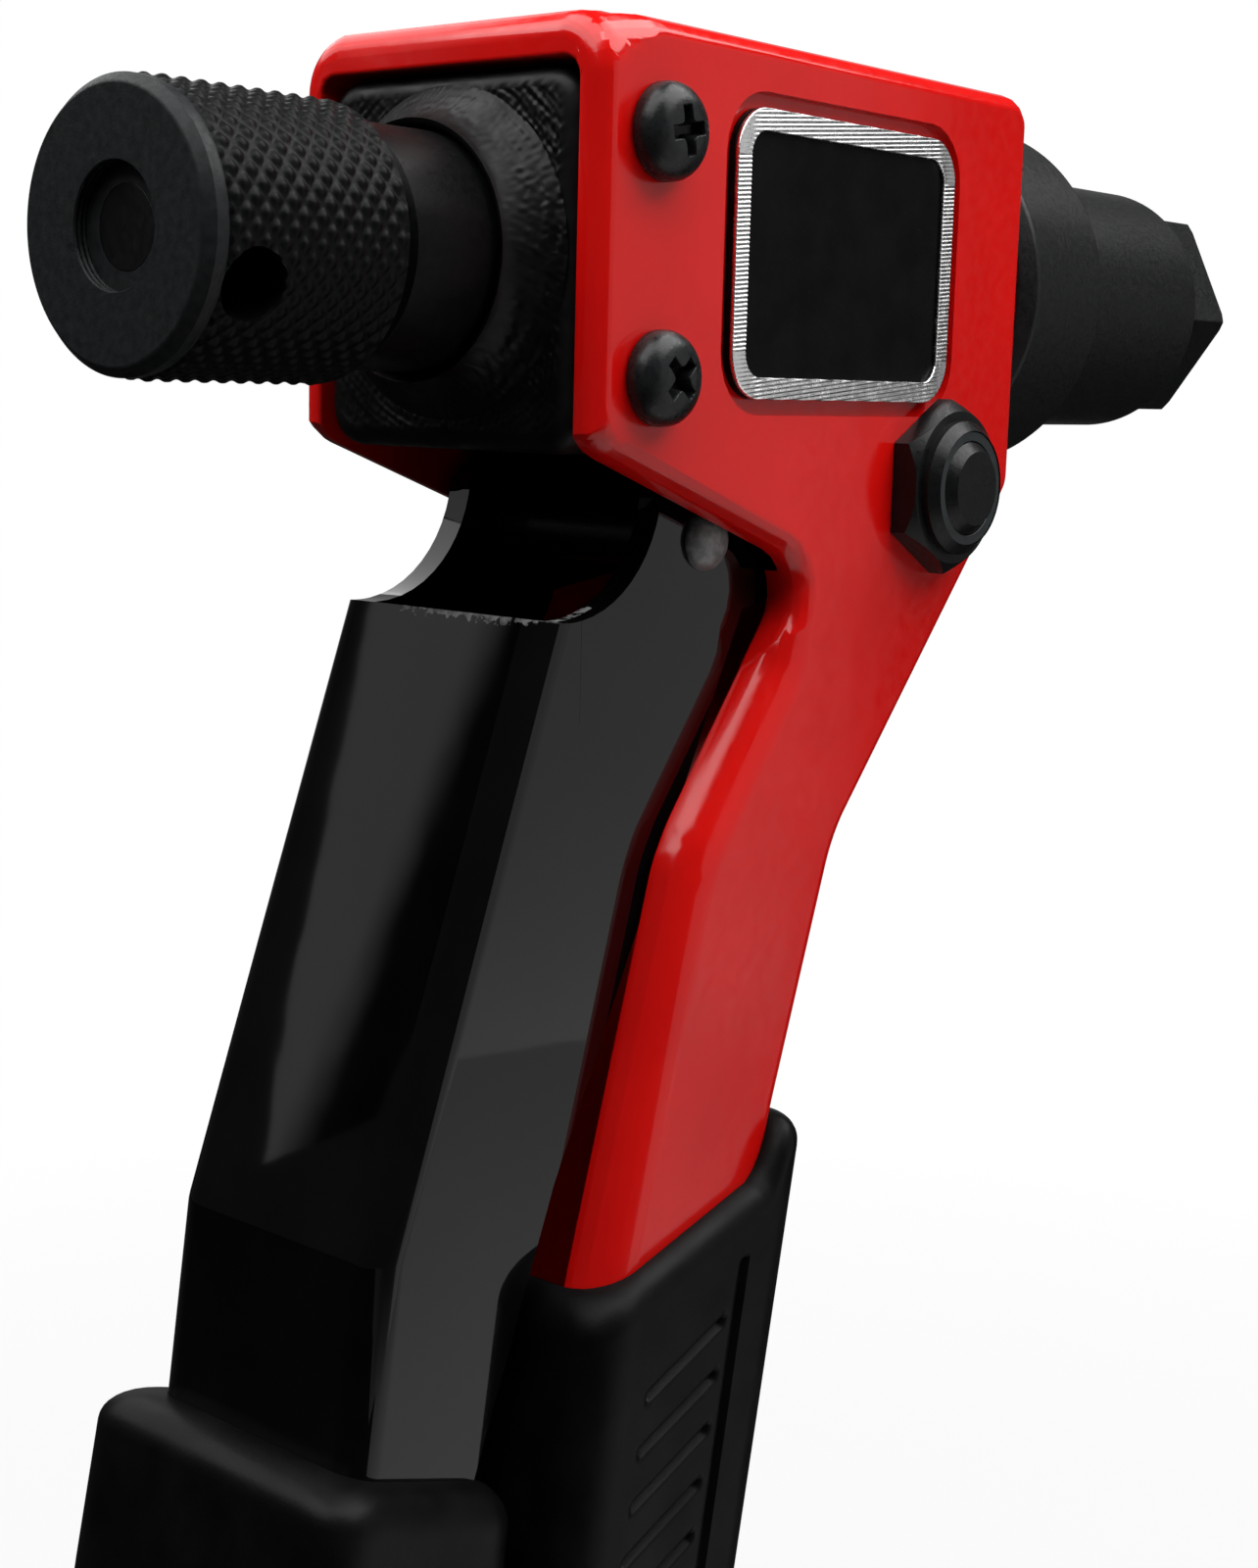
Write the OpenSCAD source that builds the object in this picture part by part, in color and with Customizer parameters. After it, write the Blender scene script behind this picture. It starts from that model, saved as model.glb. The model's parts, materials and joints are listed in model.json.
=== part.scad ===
// Two-handed setting tool for threaded rivet inserts.
// A cast head and fixed arm carry a swinging lever. The lever draws a sleeve back, and the sleeve's
// spindle pulls a screwed mandrel through the nosepiece.
// Millimetres. +X points out of the nose along the spindle, +Z is up, and the origin is the middle of the
// nosepiece's front face. The tool is shown with its handles closed.

/* [Head] */
// Length of the head from rear rim to front face
head_l = 59; // [56:0.5:66]
// Width of the head and arm across the side walls
head_w = 31.4; // [30:0.2:36]
// Height of the head's top above the spindle
head_top = 16.8; // [16:0.2:22]
// Thickness of the side walls
side_wall = 2.5; // [2.2:0.1:3.2]
// Thickness of the top wall
top_wall = 3.3; // [2:0.1:4]
// Thickness of the wall that takes the nose
nose_wall = 4; // [3:0.1:5]
// Rounding of the casting's outer edges
cast_r = 2; // [1:0.1:2.2]
// Depth of the head's lower edge below the spindle, at the rear rim
rear_drop = 13.4; // [12.6:0.1:15]
// Fall of the head's lower edge for each millimetre forwards
lower_slope = 0.36; // [0.3:0.01:0.4]
// Depth below the spindle of the head's front lower corner
front_drop = 17.5; // [17:0.1:21]

/* [Fixed arm] */
// Distance from the rear rim of the corner between head and arm
crotch_x = 29.1; // [27.5:0.1:30]
// Distance of the arm's front knee from the rear rim
knee_x = 33.2; // [31:0.1:37]
// Depth of the arm's front knee below the spindle
knee_drop = 46.8; // [44:0.2:52]
// Depth of the arm along X at the knee
arm_depth = 20.6; // [19:0.1:22]
// Drop from the knee to the place where the handle gets straight
bend_drop = 23; // [20:0.5:28]
// Backward lean of the arm over that drop, a millimetre of drop
bend_lean = 0.34; // [0.25:0.01:0.4]
// Backward lean of both handles, a millimetre of drop
handle_lean = 0.19; // [0.17:0.01:0.2]
// Distance in front of the rear rim at which the arm's rear edge goes into its grip
tip_x = 2.6; // [2.2:0.1:4]
// Depth of that place below the spindle
tip_drop = 79.4; // [77:0.2:84]
// Depth of the arm's end below the spindle
arm_end_drop = 186; // [170:1:200]
// Depth of the arm along X at its end
tang_depth = 17; // [14:0.1:18]
// Thickness of the arm's front wall
arm_wall = 3; // [2.5:0.1:4]
// Thickness of the arm's side walls
arm_side = 3.8; // [3.4:0.1:3.9]
// Rounding of the arm's rear edges
rim_r = 4.2; // [3:0.1:4.4]

/* [Pivot] */
// Distance of the pivot from the rear rim
pivot_x = 45.2; // [43:0.1:46]
// Depth of the pivot below the spindle
pivot_drop = 17.24; // [17:0.02:18.2]
// Diameter of the pivot bolt
bolt_d = 7.9; // [6:0.1:8]
// Width across flats of the bolt head and nut
bolt_af = 13; // [11:0.1:13]
// Height of the bolt's head
bolt_head_h = 4.6; // [3.5:0.1:6]
// Height of the nut's six sides
nut_hex_h = 2.4; // [2:0.1:5]
// Height of the nut's round collar
nut_collar_h = 1.6; // [1.2:0.1:4]
// Diameter of the nut's round collar
nut_collar_d = 11.4; // [11:0.1:12]
// Length of bolt that stands out of the nut
bolt_show = 0.4; // [0.2:0.1:2]

/* [Lever] */
// Outer width of the pressed channel
lever_w = 22.6; // [22.4:0.1:23]
// Sheet thickness of the lever
sheet = 2.2; // [1.8:0.1:2.2]
// Outer radius of the channel's two bends
bend_r = 2.6; // [2.4:0.1:4]
// Radius of the scoop under the guide block
scoop_r = 10.65; // [10:0.05:11]
// Distance of the scoop's centre from the rear rim
scoop_x = 2.5; // [2:0.1:3]
// Depth of the scoop's centre below the spindle
scoop_drop = 16.15; // [16:0.05:17]
// Swing of the lever from closed to open, in degrees
swing = 15; // [10:0.5:15]
// Distance of the lever's kink behind the rear rim
kink_back = 16.8; // [15:0.1:18]
// Depth of the kink below the spindle
kink_drop = 72.5; // [68:0.5:78]
// Depth of the channel along X at its top
channel_top = 23; // [21:0.1:24]
// Depth of the channel along X at the kink
channel_kink = 18.4; // [15:0.1:19]
// Depth of the channel along X inside the grip
channel_end = 12; // [10:0.1:14]
// Depth of the lever's end below the spindle
lever_end_drop = 200; // [175:1:220]
// Diameter of the drive pins
drive_d = 6; // [5:0.1:6.4]
// Diameter of the cross rivet
rivet_d = 4.9; // [4:0.1:6]
// Distance of the cross rivet from the rear rim
rivet_x = 18.6; // [17:0.1:20]
// Depth of the cross rivet below the spindle
rivet_drop = 21.2; // [20.8:0.1:22.4]

/* [Draw sleeve and spindle] */
// Diameter of the draw sleeve
sleeve_d = 17.4; // [16:0.1:17.4]
// Diameter of the spindle inside the sleeve
spindle_d = 9; // [8:0.1:9.4]
// Diameter of the spindle's threaded rear end
stud_d = 5.6; // [5:0.1:6]
// Length of sleeve that shows between guide block and knob
neck_l = 8; // [7:0.1:14]
// Diameter of the knurled knob
knob_d = 19.7; // [18:0.1:24]
// Length of the knurled knob
knob_l = 17.8; // [16:0.1:26]
// Diameter of the hole in the knob's rear face
knob_hole_d = 8.5; // [7:0.1:10]
// Depth of the hole in the knob's rear face
knob_hole_deep = 1.3; // [0.8:0.1:1.5]
// Diameter of the cross hole for a tommy bar
tommy_d = 5; // [3:0.1:5]
// Distance of the cross hole from the knob's rear face
tommy_x = 4.3; // [4:0.1:6]
// Turn of the cross hole below the horizontal, in degrees
tommy_turn = 22; // [0:1:45]
// Diameter of the screwed mandrel
mandrel_d = 6; // [4:0.1:6.4]
// Length of mandrel that stands out of the nosepiece
mandrel_show = 7; // [4:0.1:8]
// Diameter of the coupling that holds the mandrel
coupling_d = 13.2; // [12.4:0.1:14]
// Bore of the coupling
coupling_bore = 10; // [9:0.1:10.4]

/* [Guide block] */
// Length of the block along the spindle
block_l = 11.6; // [10.6:0.1:11.8]
// Depth of the block's bottom below the spindle
block_drop = 14.4; // [13.5:0.1:14.5]
// Diameter of the boss at its root
boss_root_d = 24.4; // [22:0.1:25]
// Diameter of the boss at its rim
boss_rim_d = 19; // [18.6:0.1:21]
// Length of the boss
boss_l = 3.9; // [2:0.1:5]
// Diameter of the block's screws
screw_d = 4; // [3:0.1:4.2]
// Diameter of the screw heads
screw_head_d = 7.8; // [6.6:0.1:8]
// Height of the screw heads
screw_head_h = 2.6; // [2:0.1:3]
// Distance of the screws from the rear rim
screw_x = 6.4; // [5.6:0.1:7]
// Height of the screws above and below the spindle
screw_z = 8.7; // [8.4:0.1:9.5]

/* [Side plate] */
// Length of the plate along the head
plate_l = 30.6; // [24:0.2:31]
// Height of the plate
plate_h = 21.8; // [18:0.2:22]
// Corner radius of the plate
plate_r = 3.6; // [2:0.1:5]
// Width of the plate's raised border
border_w = 1.7; // [1:0.1:3]
// Distance of the plate's centre from the rear rim
plate_x = 30.7; // [29:0.1:31]
// Height of the plate's centre above the spindle
plate_z = 0.8; // [0.5:0.1:1.4]
// Depth of the seat in the casting
seat_deep = 0.8; // [0.5:0.1:1]
// Room round the plate in its seat
seat_room = 1.2; // [0.6:0.1:1.6]

/* [Nose] */
// Width across flats of the nosepiece
nose_af = 20; // [19:0.1:21]
// Length of the nosepiece's six sides
nose_hex_l = 8.3; // [6:0.1:12]
// Diameter of the nose tube
tube_d = 24.6; // [24:0.1:27]
// Length of the nose tube in front of the collar
tube_l = 27.8; // [26:0.1:34]
// Diameter of the tube's screwed rear end
tube_thread_d = 22; // [21:0.1:22.4]
// Diameter of the lock collar
collar_d = 32.4; // [30:0.2:33]
// Length of the lock collar
collar_l = 14; // [10:0.5:18]

/* [Grips] */
// Thickness of the arm's grip on the sides
arm_grip_side = 2.3; // [2:0.1:4]
// Thickness of the arm's grip in front
arm_grip_front = 3; // [2.4:0.1:4]
// Thickness of the arm's grip at the rear
arm_grip_rear = 1.6; // [1.4:0.1:2]
// Thickness of the arm's grip below the arm's end
arm_grip_cap = 4; // [3:0.1:8]
// Thickness of the lever's grip on the sides
lever_grip_side = 3.3; // [2:0.1:4]
// Thickness of the lever's grip in front
lever_grip_front = 5; // [3:0.1:5.2]
// Thickness of the lever's grip at the rear
lever_grip_rear = 3.4; // [3:0.1:4.4]
// Thickness of the lever's grip below the lever's end
lever_grip_cap = 5; // [3:0.1:8]
// Corner radius of both grips
grip_r = 4; // [3:0.1:4.4]
// Count of diagonal grooves on each side of the arm's grip
groove_n = 14; // [1:1:18]
// Distance between the diagonal grooves
groove_pitch = 4.4; // [3:0.1:5]
// Depth of the grooves
groove_deep = 0.8; // [0.4:0.1:1]

/* [Hidden] */
// Clearances: a turning or sliding fit, a loose fit, and room between parts that pass each other
fit_gap = 0.05;
seat_gap = 0.02;
pass_gap = 0.3;
chamfer = 0.8;
over = 1;
round_n = 96;
ball_n = 32;
corner_n = 6;

// Places along the spindle, from the nose backwards
tube_front_x = -nose_hex_l;
collar_front_x = tube_front_x - tube_l - pass_gap;
head_front_x = collar_front_x - collar_l - pass_gap;
rear_x = head_front_x - head_l;
nose_inner_x = head_front_x - nose_wall;
block_set_in = 0.4;
block_rear_x = rear_x + block_set_in;
block_front_x = block_rear_x + block_l;
boss_rear_x = block_rear_x - boss_l;
sleeve_rear_x = boss_rear_x - neck_l;
washer_t = 1;
knob_front_x = sleeve_rear_x - washer_t - fit_gap - seat_gap;
knob_rear_x = knob_front_x - knob_l;
stud_end_x = knob_rear_x + knob_hole_deep;
stud_l = 8;

// Sections of the casting
inner_w = head_w - 2 * side_wall;
arm_inner_w = head_w - 2 * arm_side;
ceiling = head_top - top_wall;
boss_gap = 0.4;
boss_w = lever_w + 2 * boss_gap;
boss_d = 16.6;
insert_z = nut_hex_h;
insert_d = nut_collar_d - 1.6;
block_w = inner_w - 2 * pass_gap;
screw_end = sleeve_d / 2 - 0.7;

// Pivot and drive pins: the pins swing evenly to both sides of the upright through the pivot
pivot = [rear_x + pivot_x, -pivot_drop];
drive_arm = pivot_drop / cos(swing / 4);
drive = pivot + drive_arm * [-sin(swing / 2), cos(swing / 2)];
draw = 2 * drive_arm * sin(swing / 2);
slot_room = 0.35;
ear_r = drive_d / 2 + 3;
pivot_ear_r = bolt_d / 2 + 2.6;
pin_reach = spindle_d / 2 + 1.5;
sleeve_nose = 5;
sleeve_front_x = drive[0] + drive_d / 2 + slot_room + sleeve_nose;

// Spindle train in front of the sleeve
shoulder_d = sleeve_d - 2;
shoulder_l = 4;
shoulder_x = sleeve_front_x + fit_gap;
nose_spigot_l = 7.7;
stroke_room = 1.2;
coupling_front_x = tube_front_x - nose_spigot_l - draw - stroke_room;
coupling_rear_x = shoulder_x + shoulder_l + pass_gap;
mandrel_head_l = 4;
mandrel_head_d = coupling_bore - 0.4;
coupling_face = 2;
tube_bore = sleeve_d + 0.8;
spigot_d = coupling_d + 2.4;
tube_rear_x = nose_inner_x - 0.4;

// Corner points of the casting seen from the side
knee = [rear_x + knee_x, -knee_drop];
knee_skew = 1.6;
rear_knee = [knee[0] - arm_depth, knee[1] + knee_skew];
bend = [knee[0] - bend_drop * bend_lean, knee[1] - bend_drop];
tip = [rear_x + tip_x, -tip_drop];
arm_end = [bend[0] - (arm_end_drop + bend[1]) * handle_lean, -arm_end_drop];
rear_end = [arm_end[0] - tang_depth, -arm_end_drop];
crotch = [rear_x + crotch_x, -rear_drop - lower_slope * crotch_x];
rear_corner = [rear_x, -rear_drop];
front_corner = [head_front_x, -front_drop];

// Lever's outline from the side
channel_rear = [rear_x + 0.3, -scoop_drop - scoop_r + 0.3];
channel_front = channel_rear + [channel_top, -0.6];
kink = [rear_x - kink_back, -kink_drop];
kink_front = [kink[0] + channel_kink, kink[1] + 2.2];
grip_in = kink + [-2.3, -16];
grip_in_front = grip_in + [channel_end, -3.5];
lever_end = [grip_in[0] - (lever_end_drop + grip_in[1]) * handle_lean, -lever_end_drop];
lever_end_front = lever_end + [channel_end, 0];
edge_d = 1;
rivet = [rear_x + rivet_x, -rivet_drop];
scoop = [rear_x + scoop_x, -scoop_drop];
arm_grip_w = head_w + 2 * arm_grip_side;
groove_x = 11.05;
groove_drop = 85.75;
groove_at = [rear_x + groove_x, -groove_drop];
groove_l = 10.3;
groove_w = 1;
groove_rise = 19.3;
groove_front = 6.4;
lever_grip_w = lever_w + 2 * lever_grip_side;

$fn = round_n;

function unit(v) = v / norm(v);

// Arc of radius r that replaces the corner b of the path a, b, c
function corner_arc(a, b, c, r) = let (
    u = unit(a - b),
    v = unit(c - b),
    half = acos(u * v) / 2,
    middle = b + unit(u + v) * r / sin(half),
    from = b + u * r / tan(half) - middle,
    to = b + v * r / tan(half) - middle,
    start = atan2(from[1], from[0]),
    turn = (atan2(to[1], to[0]) - start + 540) % 360 - 180)
    [for (i = [0:corner_n])
        middle + r * [cos(start + turn * i / corner_n), sin(start + turn * i / corner_n)]];

// Closed path with each corner rounded by its own radius
function rounded(path, radii) = let (n = len(path))
    [for (i = [0:n - 1]) each radii[i] > 0 ?
        corner_arc(path[(i + n - 1) % n], path[i], path[(i + 1) % n], radii[i]) : [path[i]]];

// Solid of an outline in the X-Z plane, of width w across the tool
module across(w) {
    rotate([90, 0, 0])
        linear_extrude(w, center = true)
            children();
}

// Round bar across the tool at a place in the X-Z plane
module bar(place, d, w) {
    translate([place[0], 0, place[1]])
        rotate([90, 0, 0])
            cylinder(h = w, d = d, center = true);
}

// Round bar on the spindle line from x0 to x1
module rod(x0, x1, d) {
    translate([x0, 0, 0])
        rotate([0, 90, 0])
            cylinder(h = x1 - x0, d = d);
}

// Turned piece on the spindle line, from points of x and diameter
module turned(points) {
    rotate([0, 90, 0])
        rotate_extrude()
            polygon([for (p = points) [p[1] / 2, p[0]]]);
}

// Rectangle with round corners, centred
module round_rect(l, h, r) {
    polygon(rounded([[-l / 2, -h / 2], [l / 2, -h / 2], [l / 2, h / 2], [-l / 2, h / 2]], [r, r, r, r]));
}

// Outline of head and arm; the rear is longer by cast_r / 2 and is cut flat at the rim
module casting_outline() {
    rear_over = [-cast_r / 2, 0];
    polygon(rounded(
        [[rear_x, head_top] + rear_over, [head_front_x, head_top], front_corner, knee, bend, arm_end,
            rear_end, tip, rear_knee, crotch, rear_corner + rear_over],
        [3, 3, 4, 12, 30, 0, 0, 30, 16, 4, 5]));
}

// Outline that follows the arm's rear edge and stays clear of every other edge
module rim_outline() {
    far = 60;
    room = 3.2;
    start = crotch + room * unit(rear_knee - crotch);
    foot = rear_end + far * [-handle_lean, -1];
    polygon(rounded(
        [[rear_x - far, head_top + far], [head_front_x + far, head_top + far],
            [head_front_x + far, foot[1]], foot, tip, rear_knee, start, start + far * [-1, lower_slope]],
        [0, 0, 0, 0, 30, 16, 5, 0]));
}

// Hollow of head and arm seen from the side, open at the rear and below
module hollow_outline() {
    inner_knee = knee + [-arm_wall, -0.5];
    inner_bend = bend + [-arm_wall, 0];
    inner_end = arm_end + [-arm_wall, -over];
    far_x = rear_end[0] - arm_depth;
    polygon([[rear_x - 2 * over, ceiling], [nose_inner_x, ceiling], [nose_inner_x, -front_drop + 1],
        inner_knee, inner_bend, inner_end, [far_x, inner_end[1]], [far_x, -knee_drop],
        [rear_x - 2 * over, -knee_drop]]);
}

// Hollow seen from the rear: the head's with rounded upper corners, the arm's narrower
module hollow_section() {
    r = 1.5;
    deep = arm_end_drop + 2 * over;
    head_half = inner_w / 2;
    arm_half = arm_inner_w / 2;
    polygon(rounded(
        [[-head_half, ceiling], [head_half, ceiling], [head_half, crotch[1]], [-head_half, crotch[1]]],
        [r, r, 0, 0]));
    polygon([[-arm_half, 0], [arm_half, 0], [arm_half, -deep], [-arm_half, -deep]]);
}

// Solid of an outline with its edges rounded by r
module soft_edged(r, facets) {
    minkowski() {
        across(head_w - 2 * r)
            offset(delta = -r)
                children();
        sphere(r = r, $fn = facets);
    }
}

module casting_shell() {
    back_x = rear_end[0] - arm_depth;
    difference() {
        intersection() {
            soft_edged(cast_r, 16)
                casting_outline();
            soft_edged(rim_r, 24)
                rim_outline();
        }
        translate([rear_x - 2 * cast_r, -head_w, crotch[1]])
            cube([2 * cast_r, 2 * head_w, head_top - crotch[1] + over]);
        intersection() {
            across(head_w)
                hollow_outline();
            translate([back_x, 0, 0])
                rotate([90, 0, 90])
                    linear_extrude(head_front_x - back_x)
                        hollow_section();
        }
    }
}

// Places of the four block screws: side of the head and height
function screw_places() = [for (side = [-1, 1], up = [-1, 1]) [side, up * screw_z]];

module housing() {
    color("crimson")
        difference() {
            union() {
                casting_shell();
                for (side = [-1, 1])
                    translate([0, side * (boss_w + inner_w) / 4, 0])
                        bar(pivot, boss_d, (inner_w - boss_w) / 2 + seat_gap);
            }
            bar(pivot, bolt_d + 2 * fit_gap, head_w + over);
            rod(nose_inner_x - over, head_front_x + over, tube_thread_d + 2 * fit_gap);
            for (place = screw_places())
                translate([0, place[0] * head_w / 2, 0])
                    bar([rear_x + screw_x, place[1]], screw_d + 2 * fit_gap, 4 * side_wall);
            translate([rear_x + plate_x, -head_w / 2, plate_z])
                rotate([90, 0, 0])
                    linear_extrude(2 * seat_deep, center = true)
                        round_rect(plate_l + 2 * seat_room, plate_h + 2 * seat_room, plate_r + seat_room);
        }
}

// The lower front edge is cut away, so that the lever's ears can rise past it
module guide_block() {
    lip = 1.6;
    relief_l = 4.4;
    relief_h = 4.2;
    hole_l = block_w - 2 * (screw_end - pass_gap);
    color([0.09, 0.09, 0.1])
        difference() {
            union() {
                hull() {
                    block_slab(block_rear_x + lip, block_front_x, 0);
                    block_slab(block_rear_x, block_front_x, lip);
                }
                turned([[boss_rear_x, 0], [boss_rear_x, boss_rim_d], [block_rear_x + lip, boss_root_d],
                    [block_rear_x + lip, 0]]);
            }
            rod(boss_rear_x - over, block_front_x + over, sleeve_d + 2 * fit_gap);
            turned([[boss_rear_x - over, 0], [boss_rear_x - over, sleeve_d + 2],
                [boss_rear_x + chamfer, sleeve_d], [boss_rear_x + chamfer, 0]]);
            for (place = screw_places())
                translate([0, place[0] * block_w / 2, 0])
                    bar([rear_x + screw_x, place[1]], screw_d + 2 * fit_gap, hole_l);
            across(block_w + over)
                polygon([[block_front_x - relief_l, -block_drop], [block_front_x, relief_h - block_drop],
                    [block_front_x + over, relief_h - block_drop], [block_front_x + over, -block_drop - over],
                    [block_front_x - relief_l, -block_drop - over]]);
        }
}

// Slice of the guide block between two places on the spindle line, drawn in by inset
module block_slab(x0, x1, inset) {
    high = ceiling - pass_gap;
    translate([x0, 0, (high - block_drop) / 2])
        rotate([90, 0, 90])
            linear_extrude(x1 - x0)
                round_rect(block_w - 2 * inset, high + block_drop - 2 * inset, 3 - inset / 2);
}

module block_screws() {
    color([0.12, 0.13, 0.14])
        for (place = screw_places())
            translate([rear_x + screw_x, place[0] * head_w / 2, place[1]])
                rotate([-90 * place[0], 0, 0])
                    pan_screw(head_w / 2 - screw_end);
}

// Screw with a domed head and a crossed recess, head outwards along +Z
module pan_screw(shank) {
    cross_l = screw_head_d * 0.58;
    cross_w = screw_head_d * 0.14;
    cross_deep = screw_head_h * 0.62;
    difference() {
        rotate_extrude()
            polygon(concat(
                [[0, -shank], [screw_d / 2 - 0.4, -shank], [screw_d / 2, -shank + 0.6], [screw_d / 2, 0]],
                [[screw_head_d / 2, 0]],
                [for (a = [10:10:90])
                    [screw_head_d / 2 * (0.4 + 0.6 * cos(a)), screw_head_h * (0.3 + 0.7 * sin(a))]],
                [[0, screw_head_h]]));
        for (turn = [0, 90])
            rotate(turn + 20)
                translate([-cross_l / 2, -cross_w / 2, screw_head_h - cross_deep])
                    cube([cross_l, cross_w, screw_head_h]);
    }
}

module side_plate() {
    sheet_t = seat_deep - 0.1;
    border_t = 0.35;
    inner_l = plate_l - 2 * border_w;
    inner_h = plate_h - 2 * border_w;
    color([0.75, 0.76, 0.78])
        translate([rear_x + plate_x, -head_w / 2 + seat_deep, plate_z])
            rotate([90, 0, 0]) {
                linear_extrude(sheet_t)
                    round_rect(plate_l, plate_h, plate_r);
                translate([0, 0, sheet_t])
                    linear_extrude(border_t)
                        difference() {
                            round_rect(plate_l, plate_h, plate_r);
                            round_rect(inner_l, inner_h, plate_r - border_w / 2);
                        }
            }
}

module pivot_bolt() {
    seat_y = head_w / 2;
    end_y = -seat_y - nut_hex_h - nut_collar_h - bolt_show;
    color([0.14, 0.15, 0.16])
        translate([pivot[0], 0, pivot[1]])
            rotate([-90, 0, 0]) {
                rotate_extrude()
                    polygon([[0, end_y], [bolt_d / 2 - chamfer, end_y], [bolt_d / 2, end_y + chamfer],
                        [bolt_d / 2, seat_y + over], [0, seat_y + over]]);
                translate([0, 0, seat_y])
                    hex_head(bolt_af, bolt_head_h);
            }
}

// Six-sided prism on +Z with its outer corners turned to a cone, corners up and down
module hex_head(af, h) {
    corner = af / cos(30);
    corner_cut = (corner - af) / 2;
    intersection() {
        rotate(90)
            cylinder(h = h, d = corner, $fn = 6);
        rotate_extrude()
            polygon([[0, 0], [corner / 2, 0], [corner / 2, h - corner_cut], [af / 2, h], [0, h]]);
    }
}

module pivot_nut() {
    bevel = 1;
    nut_h = nut_hex_h + nut_collar_h;
    color([0.14, 0.15, 0.16])
        translate([pivot[0], -head_w / 2, pivot[1]])
            rotate([90, 0, 0])
                difference() {
                    union() {
                        hex_head(bolt_af, nut_hex_h);
                        rotate_extrude()
                            polygon([[0, 0], [nut_collar_d / 2, 0], [nut_collar_d / 2, nut_h - bevel],
                                [nut_collar_d / 2 - bevel, nut_h], [0, nut_h]]);
                    }
                    translate([0, 0, -over])
                        cylinder(h = nut_h + 2 * over, d = bolt_d + 2 * fit_gap);
                    translate([0, 0, insert_z])
                        cylinder(h = nut_collar_h + over, d = insert_d);
                }
}

module nut_insert() {
    insert_h = nut_collar_h - 0.3;
    color([0.2, 0.21, 0.22])
        translate([pivot[0], -head_w / 2 - insert_z, pivot[1]])
            rotate([90, 0, 0])
                difference() {
                    cylinder(h = insert_h, d = insert_d - 2 * seat_gap);
                    translate([0, 0, -over])
                        cylinder(h = insert_h + 2 * over, d = bolt_d + 2 * fit_gap);
                }
}

// Rounded bar for a grip through stations of height, rear and front place
module grip_bar(stations, w) {
    hull()
        for (at = stations, side = [-1, 1], x = [at[1] + grip_r, at[2] - grip_r])
            translate([x, side * (w / 2 - grip_r), at[0]])
                sphere(r = grip_r, $fn = ball_n);
}

// Removes what stands above a grip's top edge, given as points in the X-Z plane from rear to front
module grip_top_cut(edge, w) {
    high = 60;
    last = edge[len(edge) - 1];
    across(2 * w)
        polygon(concat(edge, [[last[0], last[1] + high], [edge[0][0], last[1] + high]]));
}

// Groove of length l in a side of the arm's grip, rising to the front by an angle
module groove(side, middle, rise, l) {
    translate([middle[0], side * arm_grip_w / 2, middle[1]])
        rotate([0, -rise, 0])
            cube([l, 2 * groove_deep, groove_w], center = true);
}

module arm_grip() {
    gap = [seat_gap, 0];
    end_gap = [0, seat_gap];
    top_z = bend[1] + 6;
    rear_lean = (tip[0] - rear_end[0]) / (tip[1] - rear_end[1]);
    foot_z = -arm_end_drop - arm_grip_cap + grip_r;
    step_front = tip + [19.4, 5.4];
    tongue = step_front + [2.9, 4.8];
    panel_l = (groove_n - 1) * groove_pitch;
    color([0.07, 0.07, 0.075])
        difference() {
            grip_bar([[top_z, tip[0] + (top_z - tip[1]) * rear_lean - arm_grip_rear,
                    bend[0] + (top_z - bend[1]) * handle_lean + arm_grip_front],
                [foot_z, rear_end[0] - arm_grip_rear, arm_end[0] + arm_grip_front]], arm_grip_w);
            grip_top_cut([tip + [-20, -4.6], step_front, tongue, tongue + [2, -2], tongue + [10, -30]],
                arm_grip_w);
            across(head_w + 2 * seat_gap)
                polygon(rounded([knee + gap, bend + gap, arm_end + gap - end_gap, rear_end - gap - end_gap,
                    tip - gap, rear_knee - gap], [0, 30, 0, 0, 30, 0]));
            for (side = [-1, 1]) {
                for (i = [0:groove_n - 1])
                    groove(side, groove_at - i * groove_pitch * [handle_lean, 1], groove_rise, groove_l);
                groove(side, groove_at + [groove_front, 0] - panel_l / 2 * [handle_lean, 1],
                    90 - atan(handle_lean), panel_l + 2 * groove_pitch);
            }
        }
}

// One straight length of channel: rear corners at a and b, front edges at c and d, drawn in by inset
module channel(a, b, c, d, inset) {
    half = lever_w / 2 - inset;
    ball = bend_r - inset;
    hull() {
        for (end = [a, b], side = [-1, 1])
            translate([end[0] + ball, side * (half - ball), end[1]])
                sphere(r = ball, $fn = ball_n);
        for (end = [c, d])
            bar(end, edge_d, 2 * half);
    }
}

module ear_outline() {
    translate(drive)
        circle(r = ear_r);
    translate(pivot)
        circle(r = pivot_ear_r);
    polygon([drive + [-4.2, 4.2], drive + [ear_r, 0], pivot + [pivot_ear_r, 0], pivot + [0, -pivot_ear_r],
        channel_front, channel_front + [-4, -8], channel_rear + [bend_r + 1, -8],
        channel_rear + [bend_r + 1, 4], scoop + [scoop_r - 0.6, -1.6]]);
}

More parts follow.
